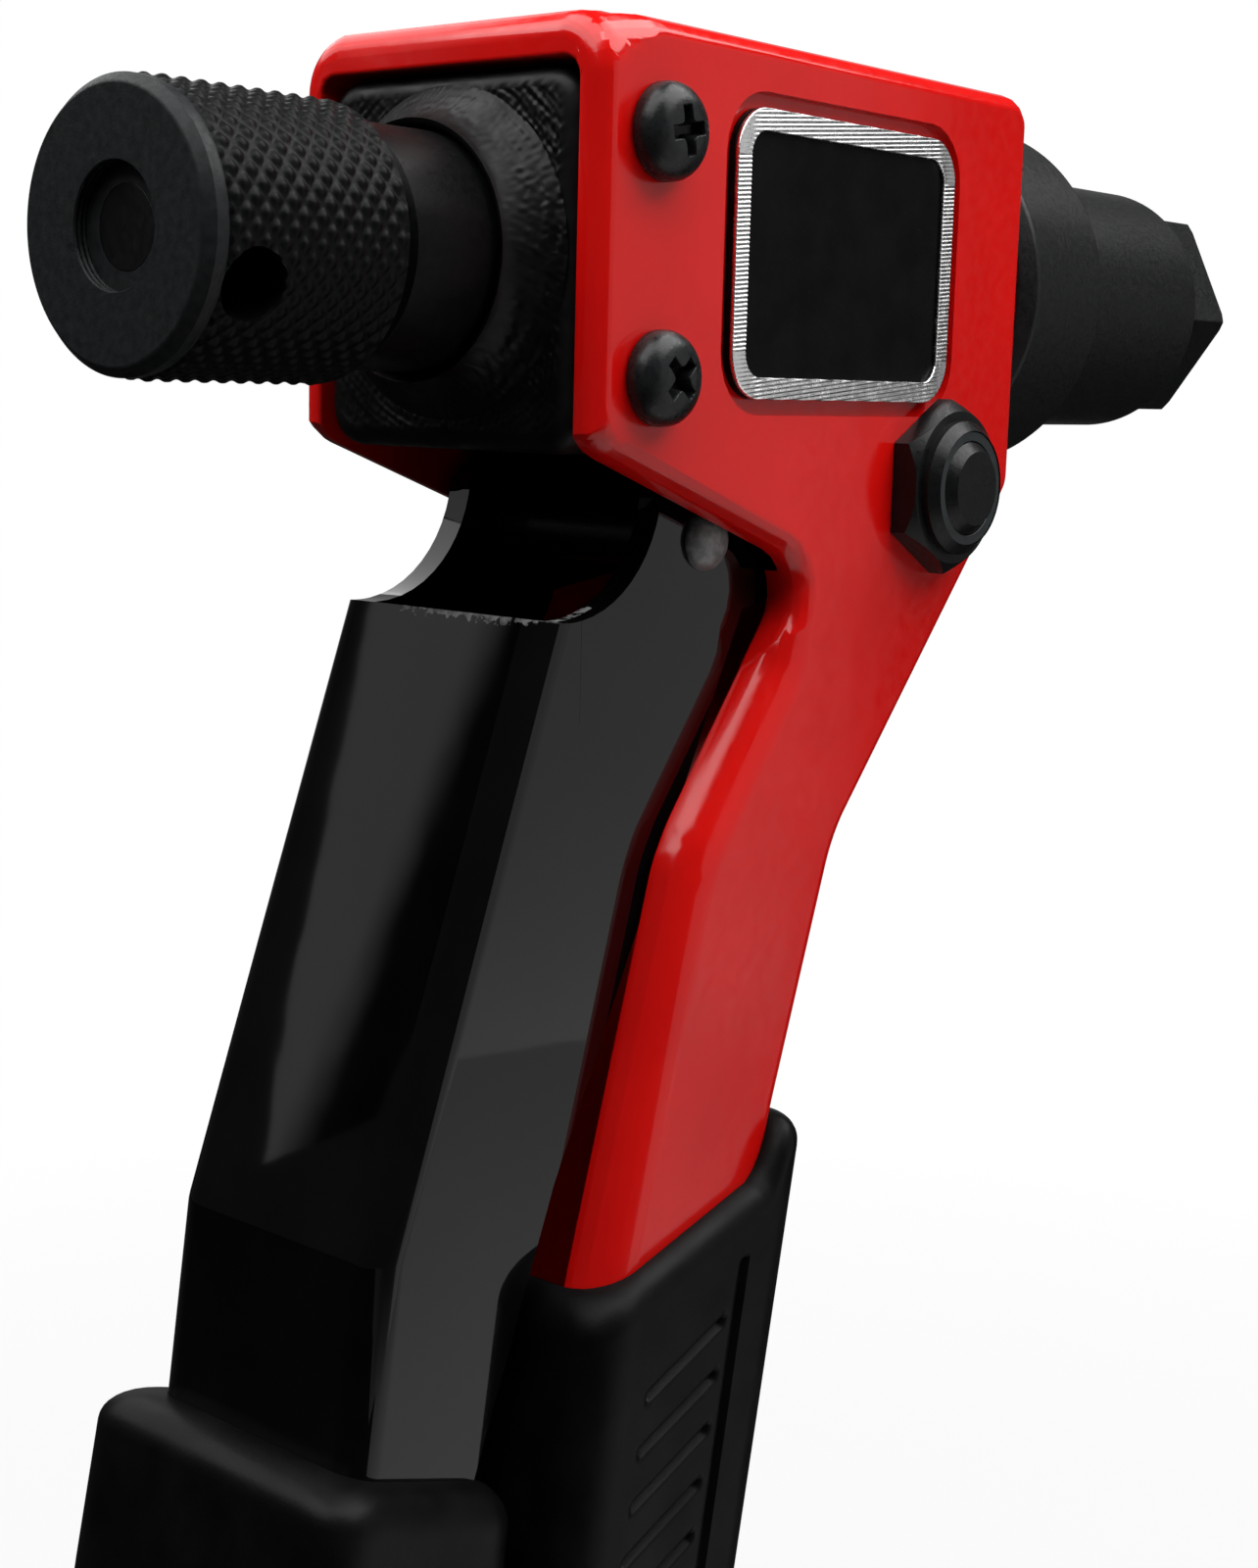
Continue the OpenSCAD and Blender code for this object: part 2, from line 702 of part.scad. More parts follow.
module lever() {
    deep = [sheet, 0];
    open_front = [40, 0];
    trough_rise = [4, 12];
    color([0.06, 0.06, 0.065])
        difference() {
            union() {
                channel(channel_rear, kink, channel_front, kink_front, 0);
                channel(kink, grip_in, kink_front, grip_in_front, 0);
                channel(grip_in, lever_end, grip_in_front, lever_end_front, 0);
                for (side = [-1, 1])
                    translate([0, side * (lever_w - sheet) / 2, 0])
                        across(sheet)
                            ear_outline();
            }
            channel(channel_rear + deep + trough_rise, kink + deep, channel_front + trough_rise + open_front,
                kink_front + open_front, sheet);
            channel(kink + deep, grip_in + deep, kink_front + open_front, grip_in_front + open_front, sheet);
            channel(grip_in + deep, lever_end + deep, grip_in_front + open_front,
                lever_end_front + open_front, sheet);
            bar(scoop, 2 * scoop_r, lever_w + over);
            translate([scoop[0] - 3 * scoop_r, -lever_w, scoop[1] - scoop_r * 0.95])
                cube([3 * scoop_r, 2 * lever_w, 4 * scoop_r]);
            bar(pivot, bolt_d + 2 * fit_gap, lever_w + over);
            bar(drive, drive_d + 2 * seat_gap, lever_w + over);
            bar(rivet, rivet_d + 2 * seat_gap, lever_w + over);
        }
}

module cross_rivet() {
    dome = 1.5;
    half = lever_w / 2;
    r = rivet_d / 2;
    color([0.2, 0.2, 0.21])
        translate([rivet[0], 0, rivet[1]])
            rotate([90, 0, 0])
                rotate_extrude()
                    polygon(concat(
                        [[0, -half - dome]],
                        [for (a = [80:-10:0]) [r * cos(a), -half - dome * sin(a)]],
                        [for (a = [0:10:80]) [r * cos(a), half + dome * sin(a)]],
                        [[0, half + dome]]));
}

module drive_pins() {
    pin_l = lever_w / 2 - pin_reach;
    color([0.55, 0.56, 0.58])
        for (side = [-1, 1])
            translate([0, side * (pin_reach + pin_l / 2), 0])
                bar(drive, drive_d, pin_l);
}

module lever_grip() {
    slant = norm([handle_lean, 1]);
    gap = [bend_r * (slant - 1) + seat_gap, 0];
    edge_gap = [edge_d / 2 * slant + 2 * seat_gap, 0];
    end_room = [0, bend_r + seat_gap];
    flare = [1.6, 12];
    lip_front = grip_in_front + [lever_grip_front, -1.2];
    lip_rear = grip_in + [-lever_grip_rear, 2.2];
    foot_z = -lever_end_drop - bend_r - lever_grip_cap + grip_r;
    color([0.07, 0.07, 0.075])
        difference() {
            grip_bar([[lip_rear[1] + grip_r, lip_rear[0], lip_front[0]],
                [grip_in[1] - flare[1], grip_in[0] - flare[1] * handle_lean - lever_grip_rear - flare[0],
                    grip_in_front[0] - flare[1] * handle_lean + lever_grip_front],
                [foot_z, lever_end[0] - lever_grip_rear, lever_end_front[0] + lever_grip_front]],
                lever_grip_w);
            grip_top_cut([lip_rear + [-10, 4], lip_front + [10, -4]], lever_grip_w);
            across(lever_w + 2 * seat_gap)
                polygon([kink - gap, grip_in - gap, lever_end - gap, lever_end - gap - end_room,
                    lever_end_front + edge_gap - end_room, lever_end_front + edge_gap,
                    grip_in_front + edge_gap, kink_front + edge_gap]);
        }
}

module draw_sleeve() {
    slot_w = drive_d + 2 * slot_room;
    slot_y = pin_reach - pass_gap;
    color([0.1, 0.1, 0.11])
        difference() {
            turned([[sleeve_rear_x, 0], [sleeve_rear_x, sleeve_d - chamfer],
                [sleeve_rear_x + chamfer / 2, sleeve_d], [sleeve_front_x, sleeve_d], [sleeve_front_x, 0]]);
            rod(sleeve_rear_x - over, sleeve_front_x + over, spindle_d + 2 * fit_gap);
            for (side = [-1, 1])
                translate([drive[0], side * (slot_y + sleeve_d / 2), 0])
                    cube([slot_w, sleeve_d, sleeve_d], center = true);
        }
}

module thrust_washer() {
    color([0.4, 0.41, 0.43])
        difference() {
            rod(sleeve_rear_x - washer_t - seat_gap, sleeve_rear_x - seat_gap, sleeve_d - 1.6);
            rod(sleeve_rear_x - washer_t - over, sleeve_rear_x + over, spindle_d + 2 * fit_gap);
        }
}

module spindle() {
    mandrel_seat_x = coupling_front_x - coupling_face - mandrel_head_l - 4 * fit_gap;
    color([0.35, 0.36, 0.38])
        turned([[stud_end_x, 0], [stud_end_x, stud_d], [stud_end_x + stud_l, stud_d],
            [stud_end_x + stud_l, spindle_d], [shoulder_x, spindle_d], [shoulder_x, shoulder_d],
            [shoulder_x + shoulder_l, shoulder_d], [shoulder_x + shoulder_l, coupling_bore - 2 * fit_gap],
            [mandrel_seat_x, coupling_bore - 2 * fit_gap], [mandrel_seat_x, 0]]);
}

module knob() {
    color([0.1, 0.1, 0.11])
        difference() {
            turned([[knob_rear_x, 0], [knob_rear_x, knob_d - 2 * chamfer], [knob_rear_x + chamfer, knob_d],
                [knob_front_x - chamfer / 2, knob_d], [knob_front_x, knob_d - chamfer], [knob_front_x, 0]]);
            rod(knob_rear_x - over, stud_end_x, knob_hole_d);
            rod(knob_rear_x - over, knob_front_x + over, stud_d + 2 * seat_gap);
            rod(stud_end_x + stud_l - seat_gap, knob_front_x + over, spindle_d + 2 * seat_gap);
            translate([knob_rear_x + tommy_x, 0, 0])
                rotate([90 + tommy_turn, 0, 0])
                    translate([0, 0, stud_d / 2 + 0.4])
                        cylinder(h = knob_d, d = tommy_d);
        }
}

module mandrel_coupling() {
    color([0.2, 0.2, 0.22])
        difference() {
            turned([[coupling_rear_x, 0], [coupling_rear_x, coupling_d],
                [coupling_front_x - chamfer, coupling_d], [coupling_front_x, coupling_d - 2 * chamfer],
                [coupling_front_x, 0]]);
            rod(coupling_rear_x - over, coupling_front_x - coupling_face, coupling_bore);
            rod(coupling_rear_x - over, coupling_front_x + over, mandrel_d + 2 * fit_gap);
        }
}

module mandrel() {
    head_x = coupling_front_x - coupling_face - fit_gap;
    shank_d = mandrel_d - 0.6;
    color([0.3, 0.31, 0.33])
        turned([[head_x - mandrel_head_l, 0], [head_x - mandrel_head_l, mandrel_head_d],
            [head_x, mandrel_head_d], [head_x, shank_d], [0, shank_d], [0, mandrel_d],
            [mandrel_show - chamfer, mandrel_d], [mandrel_show, mandrel_d - 2 * chamfer], [mandrel_show, 0]]);
}

module nose_tube() {
    shelf_x = collar_front_x + pass_gap;
    color([0.12, 0.12, 0.13])
        difference() {
            turned([[tube_rear_x, 0], [tube_rear_x, tube_thread_d], [shelf_x, tube_thread_d],
                [shelf_x, tube_d - chamfer], [shelf_x + chamfer / 2, tube_d],
                [tube_front_x - chamfer, tube_d], [tube_front_x, tube_d - 2 * chamfer], [tube_front_x, 0]]);
            rod(tube_rear_x - over, coupling_front_x + draw + pass_gap, tube_bore);
            rod(tube_rear_x, tube_front_x + over, spigot_d + 2 * seat_gap);
        }
}

module lock_collar() {
    rear = head_front_x + pass_gap;
    bevel = 1.4;
    color([0.12, 0.12, 0.13])
        difference() {
            turned([[rear, 0], [rear, collar_d - 2 * bevel], [rear + bevel, collar_d],
                [collar_front_x - chamfer, collar_d], [collar_front_x, collar_d - 2 * chamfer],
                [collar_front_x, 0]]);
            rod(rear - over, collar_front_x + over, tube_thread_d + 2 * fit_gap);
        }
}

module nosepiece() {
    corner = nose_af / cos(30);
    nose_turn = 4.7;
    nose_bevel = 0.5;
    color([0.12, 0.12, 0.13])
        difference() {
            union() {
                intersection() {
                    translate([tube_front_x, 0, 0])
                        rotate([0, 90, 0])
                            rotate(90 + nose_turn)
                                cylinder(h = nose_hex_l, d = corner, $fn = 6);
                    turned([[tube_front_x, 0], [tube_front_x, corner], [-nose_bevel, corner],
                        [0, corner - 2 * nose_bevel], [0, 0]]);
                }
                rod(tube_front_x - nose_spigot_l, tube_front_x, spigot_d);
            }
            rod(tube_front_x - nose_spigot_l - over, over, mandrel_d + 2 * pass_gap);
        }
}

housing();
guide_block();
block_screws();
side_plate();
pivot_bolt();
pivot_nut();
nut_insert();
arm_grip();
lever();
cross_rivet();
drive_pins();
lever_grip();
draw_sleeve();
thrust_washer();
spindle();
knob();
mandrel_coupling();
mandrel();
nose_tube();
lock_collar();
nosepiece();
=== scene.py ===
import json
import math

import bmesh
import bpy
import numpy as np
from mathutils import Matrix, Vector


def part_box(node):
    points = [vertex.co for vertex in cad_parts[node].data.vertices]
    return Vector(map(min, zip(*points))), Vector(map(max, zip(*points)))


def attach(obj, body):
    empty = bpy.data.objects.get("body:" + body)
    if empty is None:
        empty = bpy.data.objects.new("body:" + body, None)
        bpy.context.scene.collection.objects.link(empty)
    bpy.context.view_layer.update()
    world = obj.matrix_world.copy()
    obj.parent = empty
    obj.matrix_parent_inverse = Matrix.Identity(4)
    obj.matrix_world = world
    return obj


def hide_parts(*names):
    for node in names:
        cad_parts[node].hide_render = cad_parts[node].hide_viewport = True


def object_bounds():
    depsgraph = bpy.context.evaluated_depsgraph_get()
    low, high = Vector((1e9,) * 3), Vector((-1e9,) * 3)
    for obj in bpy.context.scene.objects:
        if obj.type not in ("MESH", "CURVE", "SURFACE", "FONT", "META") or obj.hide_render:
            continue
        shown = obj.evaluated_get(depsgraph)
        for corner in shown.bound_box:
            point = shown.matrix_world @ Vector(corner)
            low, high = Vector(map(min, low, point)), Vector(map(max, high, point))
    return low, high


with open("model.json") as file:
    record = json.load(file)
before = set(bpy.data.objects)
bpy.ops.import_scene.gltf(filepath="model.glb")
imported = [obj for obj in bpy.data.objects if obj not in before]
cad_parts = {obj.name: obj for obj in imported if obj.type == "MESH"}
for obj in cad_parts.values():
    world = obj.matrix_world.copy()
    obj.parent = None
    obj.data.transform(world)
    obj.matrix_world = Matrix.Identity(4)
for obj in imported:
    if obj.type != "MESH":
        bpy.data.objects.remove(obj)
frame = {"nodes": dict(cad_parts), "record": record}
cad_box = [list(corner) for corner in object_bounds()]


# Housing: head and fixed arm, cast in one piece from light alloy, open at the rear and below.
# The mould rounds its edges, and it is sprayed with thick red gloss paint that dries with a faint
# orange peel.
MM = 0.001


def start_finish(name):
    """New material with one principled shader. Gives the material, its node tree, the shader and the
    piece's own coordinates in metres."""
    finish = bpy.data.materials.new(name)
    finish.use_nodes = True
    tree = finish.node_tree
    tree.nodes.clear()
    out = tree.nodes.new("ShaderNodeOutputMaterial")
    shader = tree.nodes.new("ShaderNodeBsdfPrincipled")
    tree.links.new(shader.outputs["BSDF"], out.inputs["Surface"])
    place = tree.nodes.new("ShaderNodeTexCoord").outputs["Object"]
    return finish, tree, shader, place


def set_values(shader, **values):
    """Writes constants to the shader's sockets; a name's underscores stand for spaces."""
    for name, value in values.items():
        shader.inputs[name.replace("_", " ")].default_value = value


def blotches(tree, place, per_metre, detail=3.0, stretch=(1, 1, 1)):
    """Noise from 0 to 1 with about per_metre spots a metre, drawn out along the axes where stretch is
    under 1."""
    scaled = tree.nodes.new("ShaderNodeMapping")
    scaled.inputs["Scale"].default_value = stretch
    tree.links.new(place, scaled.inputs["Vector"])
    noise = tree.nodes.new("ShaderNodeTexNoise")
    noise.inputs["Scale"].default_value = per_metre
    noise.inputs["Detail"].default_value = detail
    tree.links.new(scaled.outputs["Vector"], noise.inputs["Vector"])
    return noise.outputs["Fac"]


def tones(tree, value, target, stops):
    """Colours a value: each stop is a place from 0 to 1 and a linear colour."""
    ramp = tree.nodes.new("ShaderNodeValToRGB")
    marks = ramp.color_ramp.elements
    for _ in stops[2:]:
        marks.new(0.5)
    for mark, (at, colour) in zip(marks, stops):
        mark.position = at
        mark.color = (*colour, 1)
    tree.links.new(value, ramp.inputs["Fac"])
    tree.links.new(ramp.outputs["Color"], target)


def between(tree, value, target, low, high):
    """Carries a noise value, mostly from 0.3 to 0.7, to the range low to high."""
    span = tree.nodes.new("ShaderNodeMapRange")
    span.inputs["From Min"].default_value = 0.3
    span.inputs["From Max"].default_value = 0.7
    span.inputs["To Min"].default_value = low
    span.inputs["To Max"].default_value = high
    tree.links.new(value, span.inputs["Value"])
    tree.links.new(span.outputs["Result"], target)


def relief(tree, shader, height, deep_mm, sockets=("Normal",)):
    """Fine unevenness of the surface, deep_mm from valley to crest."""
    bump = tree.nodes.new("ShaderNodeBump")
    bump.inputs["Distance"].default_value = deep_mm * MM
    tree.links.new(height, bump.inputs["Height"])
    for socket in sockets:
        tree.links.new(bump.outputs["Normal"], shader.inputs[socket])


record = frame["record"]


def set_in_place(piece, *nodes):
    """The piece stands for these CAD nodes: it takes their body from the record, and they are hidden."""
    body = next(name for name, held in record["behaviour"]["bodies"].items() if nodes[0] in held)
    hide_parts(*nodes)
    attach(piece, body)


def read_all(items, name, width=1, kind=float):
    """One value of all faces, corners or points as an array with width columns."""
    values = np.empty(len(items) * width, kind)
    items.foreach_get(name, values)
    return values.reshape(-1, width) if width > 1 else values


WAY_STEPS, LEVEL_STEPS = 500, 2e5


def even_shading(piece, crease):
    """Smooth shading with hard lines above the crease angle: a corner takes the mean direction of those
    faces round its point that lean from its own face by less than the crease. A face weighs as much as
    the whole flat that it lies in, so flats stay flat up to their rims. Faces lie in one flat where their
    directions and levels round to the same steps."""
    mesh = piece.data
    mesh.shade_smooth()
    way = read_all(mesh.polygons, "normal", 3)
    level = (way * read_all(mesh.polygons, "center", 3)).sum(1)
    steps = np.round(np.column_stack([way * WAY_STEPS, level * LEVEL_STEPS]))
    flat = np.unique(steps, axis=0, return_inverse=True)[1].ravel()
    weight = np.bincount(flat, read_all(mesh.polygons, "area") / MM ** 2)[flat]
    face = np.repeat(np.arange(len(way)), read_all(mesh.polygons, "loop_total", kind=int))
    point = read_all(mesh.loops, "vertex_index", kind=int)
    order = np.argsort(point, kind="stable")
    count = np.bincount(point)[point]
    start = np.cumsum(count) - count
    own = np.repeat(np.arange(point.size), count)
    step = np.arange(own.size) - start[own]
    other = face[order[np.searchsorted(point[order], point)[own] + step]]
    alike = (way[face[own]] * way[other]).sum(1) > math.cos(math.radians(crease))
    mean = np.add.reduceat((weight[other] * alike)[:, None] * way[other], start)
    length = np.maximum(np.linalg.norm(mean, axis=1, keepdims=True), 1e-30)
    mesh.normals_split_custom_set((mean / length).tolist())


MERGE_GAP, EDGE_STEPS = 0.002, 4


def smooth_copy(node, finish, crease=34, soften=0.0, cuts=(), shift=None):
    """Copy of a CAD node with its triangles merged and its sharp edges rounded by soften millimetres. The
    mesh is first cut by planes, each a point, a direction and the x up to which it cuts, and shift then
    moves its points, an array in millimetres."""
    shape = bmesh.new()
    shape.from_mesh(frame["nodes"][node].data)
    bmesh.ops.remove_doubles(shape, verts=shape.verts, dist=MERGE_GAP * MM)
    for point, way, limit in cuts:
        faces = [face for face in shape.faces if face.calc_center_median().x < limit * MM]
        edges = {edge for face in faces for edge in face.edges}
        corners = {corner for face in faces for corner in face.verts}
        bmesh.ops.bisect_plane(shape, geom=[*corners, *edges, *faces], dist=1e-6,
                               plane_co=[at * MM for at in point], plane_no=way)
    mesh = bpy.data.meshes.new(node + "_made")
    shape.to_mesh(mesh)
    shape.free()
    if shift:
        points = read_all(mesh.vertices, "co", 3)
        mesh.vertices.foreach_set("co", shift(points / MM).ravel() * MM)
        mesh.update()
    piece = bpy.data.objects.new(node + "_made", mesh)
    bpy.context.scene.collection.objects.link(piece)
    if soften > 0:
        edge = piece.modifiers.new("soft_edges", "BEVEL")
        edge.width = soften * MM
        edge.segments = EDGE_STEPS
        edge.limit_method = "ANGLE"
        edge.angle_limit = math.radians(crease)
        finished = piece.evaluated_get(bpy.context.evaluated_depsgraph_get())
        rounded = bpy.data.meshes.new_from_object(finished)
        piece.modifiers.clear()
        piece.data = rounded
    piece.data.materials.clear()
    piece.data.materials.append(finish)
    even_shading(piece, crease)
    set_in_place(piece, node)


HEAD_HALF, HEAD_TOP, WALL_CORE = 15.66, 16.76, 4.5
OPENING_HALF, OPENING_TOP, OPENING_BAND, OPENING_SLACK = 13.2, 13.5, 0.6, 0.1
RIM_OUTER, RIM_INNER, RIM_AHEAD, RIM_FLOOR = 2.0, 0.35, 3.5, -20
CORNER_L, CORNER_ROOM, OPENING_STEP = 7.3, 1.1, 0.08
rim_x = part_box("guide_block")[0][0] / MM + RIM_AHEAD


def fillet(radius, depth):
    """How far a rounded edge of this radius falls back at a depth below its crest."""
    left = np.clip(radius - depth, 0, radius)
    return radius - np.sqrt(radius ** 2 - left ** 2)


def smooth_step(low, high, value):
    """0 at low, 1 at high and an even S curve between."""
    share = np.clip((value - low) / (high - low), 0, 1)
    return share * share * (3 - 2 * share)


def round_rim(points):
    """Rounds the casting's rear rim: the opening's edge moves out by the fall of a small rounded edge, and
    then all points are drawn in towards the wall's core by the fall of a large one. The two upper corners
    are rounder at the rim and reach the head's own corners at CORNER_L."""
    x, y, z = points.T
    deep = x - rim_x
    near = (z > RIM_FLOOR) & (deep < CORNER_L)
    within = (np.abs(y) < OPENING_HALF + OPENING_SLACK) & (z < OPENING_TOP + OPENING_SLACK)
    opening = near & within
    back = np.where(opening, fillet(RIM_INNER, deep), 0)
    y = y + np.where(np.abs(y) > OPENING_HALF - OPENING_BAND, np.sign(y) * back, 0)
    z = z + np.where(z > OPENING_TOP - OPENING_BAND, back, 0)
    core_y = np.clip(y, WALL_CORE - HEAD_HALF, HEAD_HALF - WALL_CORE)
    core_z = np.minimum(z, HEAD_TOP - WALL_CORE)
    reach = np.hypot(y - core_y, z - core_z)
    room = WALL_CORE - fillet(RIM_OUTER, deep) + CORNER_ROOM * smooth_step(0, CORNER_L, deep)
    room = room - np.where(opening, OPENING_STEP, 0)
    kept = np.where(near, np.minimum(reach, room) / np.maximum(reach, 1e-6), 1)
    return np.stack([x, core_y + (y - core_y) * kept, core_z + (z - core_z) * kept], -1)


red_paint, tree, shader, place = start_finish("red_paint")
set_values(shader, Roughness=0.5, Specular_IOR_Level=0.0, Coat_Weight=0.85)
tones(tree, blotches(tree, place, 90), shader.inputs["Base Color"],
      [(0.3, (0.66, 0.004, 0.003)), (0.7, (0.74, 0.006, 0.004))])
between(tree, blotches(tree, place, 900), shader.inputs["Coat Roughness"], 0.1, 0.2)
relief(tree, shader, blotches(tree, place, 110, 2.0), 0.05, ("Normal", "Coat Normal"))
outer_arc = np.linspace(0, np.pi / 2, 8)[1:]
rim_rows = rim_x + np.concatenate([RIM_OUTER * (1 - np.cos(outer_arc)), RIM_INNER * np.array([0.3, 1.0]),
                                   np.linspace(RIM_OUTER + 0.7, CORNER_L, 5)])
WHOLE_PIECE = 1000
rim_cuts = [((x, 0, 0), (1, 0, 0), WHOLE_PIECE) for x in rim_rows]
rim_cuts += [((0, side * (HEAD_HALF - WALL_CORE), HEAD_TOP - WALL_CORE),
              (0, -side * math.sin(a), math.cos(a)), rim_x + CORNER_L)
             for side in (-1, 1) for a in np.linspace(0, np.pi / 2, 10)]
smooth_copy("housing", red_paint, crease=40, cuts=rim_cuts, shift=round_rim)


# Guide block: a black casting in the head's rear opening, bored for the sleeve, with a turned cone boss.
# Its faces keep the streaks of the mould under a thin black coat. Four screws hold it.
def corners_mm(node):
    """Lowest and highest corner of a CAD node in millimetres."""
    return (np.array(corner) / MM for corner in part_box(node))


def ring_skin(name, rings, finish, first=None, last=None, loop=False, crease=None):
    """Closed skin over rings of points in millimetres, an array of row, point, xyz. Each ring joins the
    next and its own start; first and last are points that close the ends, or loop joins the last ring to
    the first. Edges that turn by more than the crease, in degrees, stay hard."""
    rows, count = rings.shape[:2]
    points = rings.reshape(-1, 3)
    row = np.arange(rows if loop else rows - 1)[:, None]
    at = np.arange(count)[None, :]
    after = (at + 1) % count
    below = (row + 1) % rows
    quads = np.stack(np.broadcast_arrays(row * count + at, row * count + after, below * count + after,
                                         below * count + at), -1)
    faces = quads.reshape(-1, 4).tolist()
    for tip, tip_row, turn in ((first, 0, 1), (last, rows - 1, -1)):
        if tip is not None:
            points = np.vstack([points, tip])
            ring = tip_row * count + np.arange(count)
            fan = np.stack([np.full(count, len(points) - 1), np.roll(ring, -1), ring], -1)
            faces += fan[:, ::turn].tolist()
    mesh = bpy.data.meshes.new(name)
    mesh.from_pydata(points * MM, [], faces)
    volume = bmesh.new()
    volume.from_mesh(mesh)
    if volume.calc_volume(signed=True) < 0:
        mesh.flip_normals()
    volume.free()
    mesh.materials.append(finish)
    mesh.shade_smooth()
    if crease is not None:
        mesh.set_sharp_from_angle(angle=math.radians(crease))
    piece = bpy.data.objects.new(name, mesh)
    bpy.context.scene.collection.objects.link(piece)
    return piece


black_casting, tree, shader, place = start_finish("black_casting")
set_values(shader, Specular_IOR_Level=0.2)
tones(tree, blotches(tree, place, 700, 6.0), shader.inputs["Base Color"],
      [(0.35, (0.0015, 0.0015, 0.0016)), (0.75, (0.004, 0.004, 0.0041))])
between(tree, blotches(tree, place, 420, 5.0), shader.inputs["Roughness"], 0.3, 0.55)
relief(tree, shader, blotches(tree, place, 1800, 4.0), 0.012)
block_low, block_high = corners_mm("guide_block")
BLOCK_EDGE_R, BLOCK_CORNER_R, BLOCK_CREASE = 1.6, 3.0, 50
SLEEVE_BORE_R, BOSS_RIM_R, BOSS_ROOT_R, BOSS_L = 8.75, 9.5, 12.2, 3.9
EAR_CUT_L, EAR_CUT_H = 4.4, 4.2
FLANK_ROWS, FACE_ROWS = 30, 44
block_half = (block_high - block_low)[1:] / 2
block_mid = (block_high + block_low)[1:] / 2
block_turn = np.linspace(0, 2 * np.pi, 720, endpoint=False)


def outline_radius(inset):
    """Distance from the spindle line to the block's rounded outline, drawn in by inset, in each direction:
    found by halving the span in which a point changes from inside to outside."""
    near, far = np.full(block_turn.shape, 5.0), np.full(block_turn.shape, 30.0)
    for _ in range(40):
        r = (near + far) / 2
        point = np.stack([r * np.cos(block_turn), r * np.sin(block_turn)], -1)
        beyond = np.abs(point - block_mid) - (block_half - BLOCK_CORNER_R)
        outside = np.hypot(*np.maximum(beyond, 0).T) > BLOCK_CORNER_R - inset
        near, far = np.where(outside, near, r), np.where(outside, r, far)
    return near


def mould_streaks(y, z):
    """Cast skin in millimetres: fine wrinkles that run round the boss, broken up by waves with fixed
    directions and phases, and stronger on the right."""
    chance = np.random.default_rng(7)
    out, round_it = np.hypot(y, z), np.arctan2(z, y)
    height = np.zeros_like(y)
    for k in range(18):
        across, along, phase = chance.uniform(5.0, 15.0), chance.uniform(-3.0, 3.0), chance.uniform(0, 6.3)
        sway = 2.2 * np.sin(0.6 * y * np.cos(k) + 0.6 * z * np.sin(k) + phase)
        height += np.sin(across * out + along * round_it * 2 + phase + sway) / across
    for k in range(30):
        way, size, phase = chance.uniform(0, 6.3), chance.uniform(5.0, 14.0), chance.uniform(0, 6.3)
        height += 0.9 * np.sin(size * (y * np.cos(way) + z * np.sin(way)) + phase) / size
    return 0.07 * height * (0.45 + 0.55 * smooth_step(4.0, -11.0, y))


def block_rings():
    """Rings round the spindle line: up the bore, over the boss's rim, down its hollow flank, across the
    rear face, over the rounded edge, along the sides and back across the front face. The lower front edge
    is cut on a slant, so that the lever's ears pass."""
    tip, rear, front = block_low[0], block_low[0] + BOSS_L, block_high[0]
    full, flat = outline_radius(0.0), outline_radius(BLOCK_EDGE_R)
    boss_w = BOSS_ROOT_R - BOSS_RIM_R
    circle = np.ones_like(block_turn)
    rows = [(front - 0.3, SLEEVE_BORE_R * circle), (tip + 0.9, SLEEVE_BORE_R * circle),
            (tip + 0.15, (SLEEVE_BORE_R + 0.4) * circle)]
    bore_rows = len(rows)
    rows += [(tip + BOSS_L * s ** 0.75, (BOSS_RIM_R + boss_w * s ** 1.3) * circle)
             for s in np.linspace(0, 1, FLANK_ROWS)]
    rows += [(rear, BOSS_ROOT_R + (flat - BOSS_ROOT_R) * s) for s in np.linspace(0.03, 1, FACE_ROWS)]
    rows += [(rear + BLOCK_EDGE_R * (1 - math.cos(a)), flat + (full - flat) * math.sin(a))
             for a in np.linspace(0.15, np.pi / 2, 7)]
    rows += [(x, full) for x in np.linspace(rear + 2.2, front, 6)]
    rows += [(front, SLEEVE_BORE_R + (full - SLEEVE_BORE_R) * s) for s in (0.9, 0.7, 0.5, 0.3, 0.1)]
    x = np.stack([np.full(block_turn.shape, at) for at, _ in rows])
    r = np.stack([out for _, out in rows])
    y, z = r * np.cos(block_turn), r * np.sin(block_turn)
    skin = slice(bore_rows + 1, bore_rows + FLANK_ROWS + FACE_ROWS)
    x[skin] += mould_streaks(y[skin], z[skin])
    ear_cut = front - EAR_CUT_L + (z - block_low[2]) * EAR_CUT_L / EAR_CUT_H
    return np.stack([np.minimum(x, ear_cut), y, z], -1)


block = ring_skin("guide_block_made", block_rings(), black_casting, loop=True, crease=BLOCK_CREASE)
set_in_place(block, "guide_block")


# Block screws: four blackened steel screws with pan heads and a crossed recess, two in each side of the
# head. They are cold headed, so the dome runs smoothly down to a short straight rim.
def black_oxide(name, light, rough, gloss):
    """Blackened steel: dark grey with a faint blue-green cast, drawn or turned marks and uneven gloss."""
    finish, tree, shader, place = start_finish(name)
    set_values(shader, Specular_IOR_Level=gloss)
    tones(tree, blotches(tree, place, 1500, 5.0), shader.inputs["Base Color"],
          [(0.3, (0.5 * light, 0.56 * light, 0.6 * light)), (0.7, (light, 1.08 * light, 1.14 * light))])
    between(tree, blotches(tree, place, 2600, 4.0), shader.inputs["Roughness"], rough - 0.08, rough + 0.1)
    relief(tree, shader, blotches(tree, place, 5200, 3.0), 0.012)
    return finish


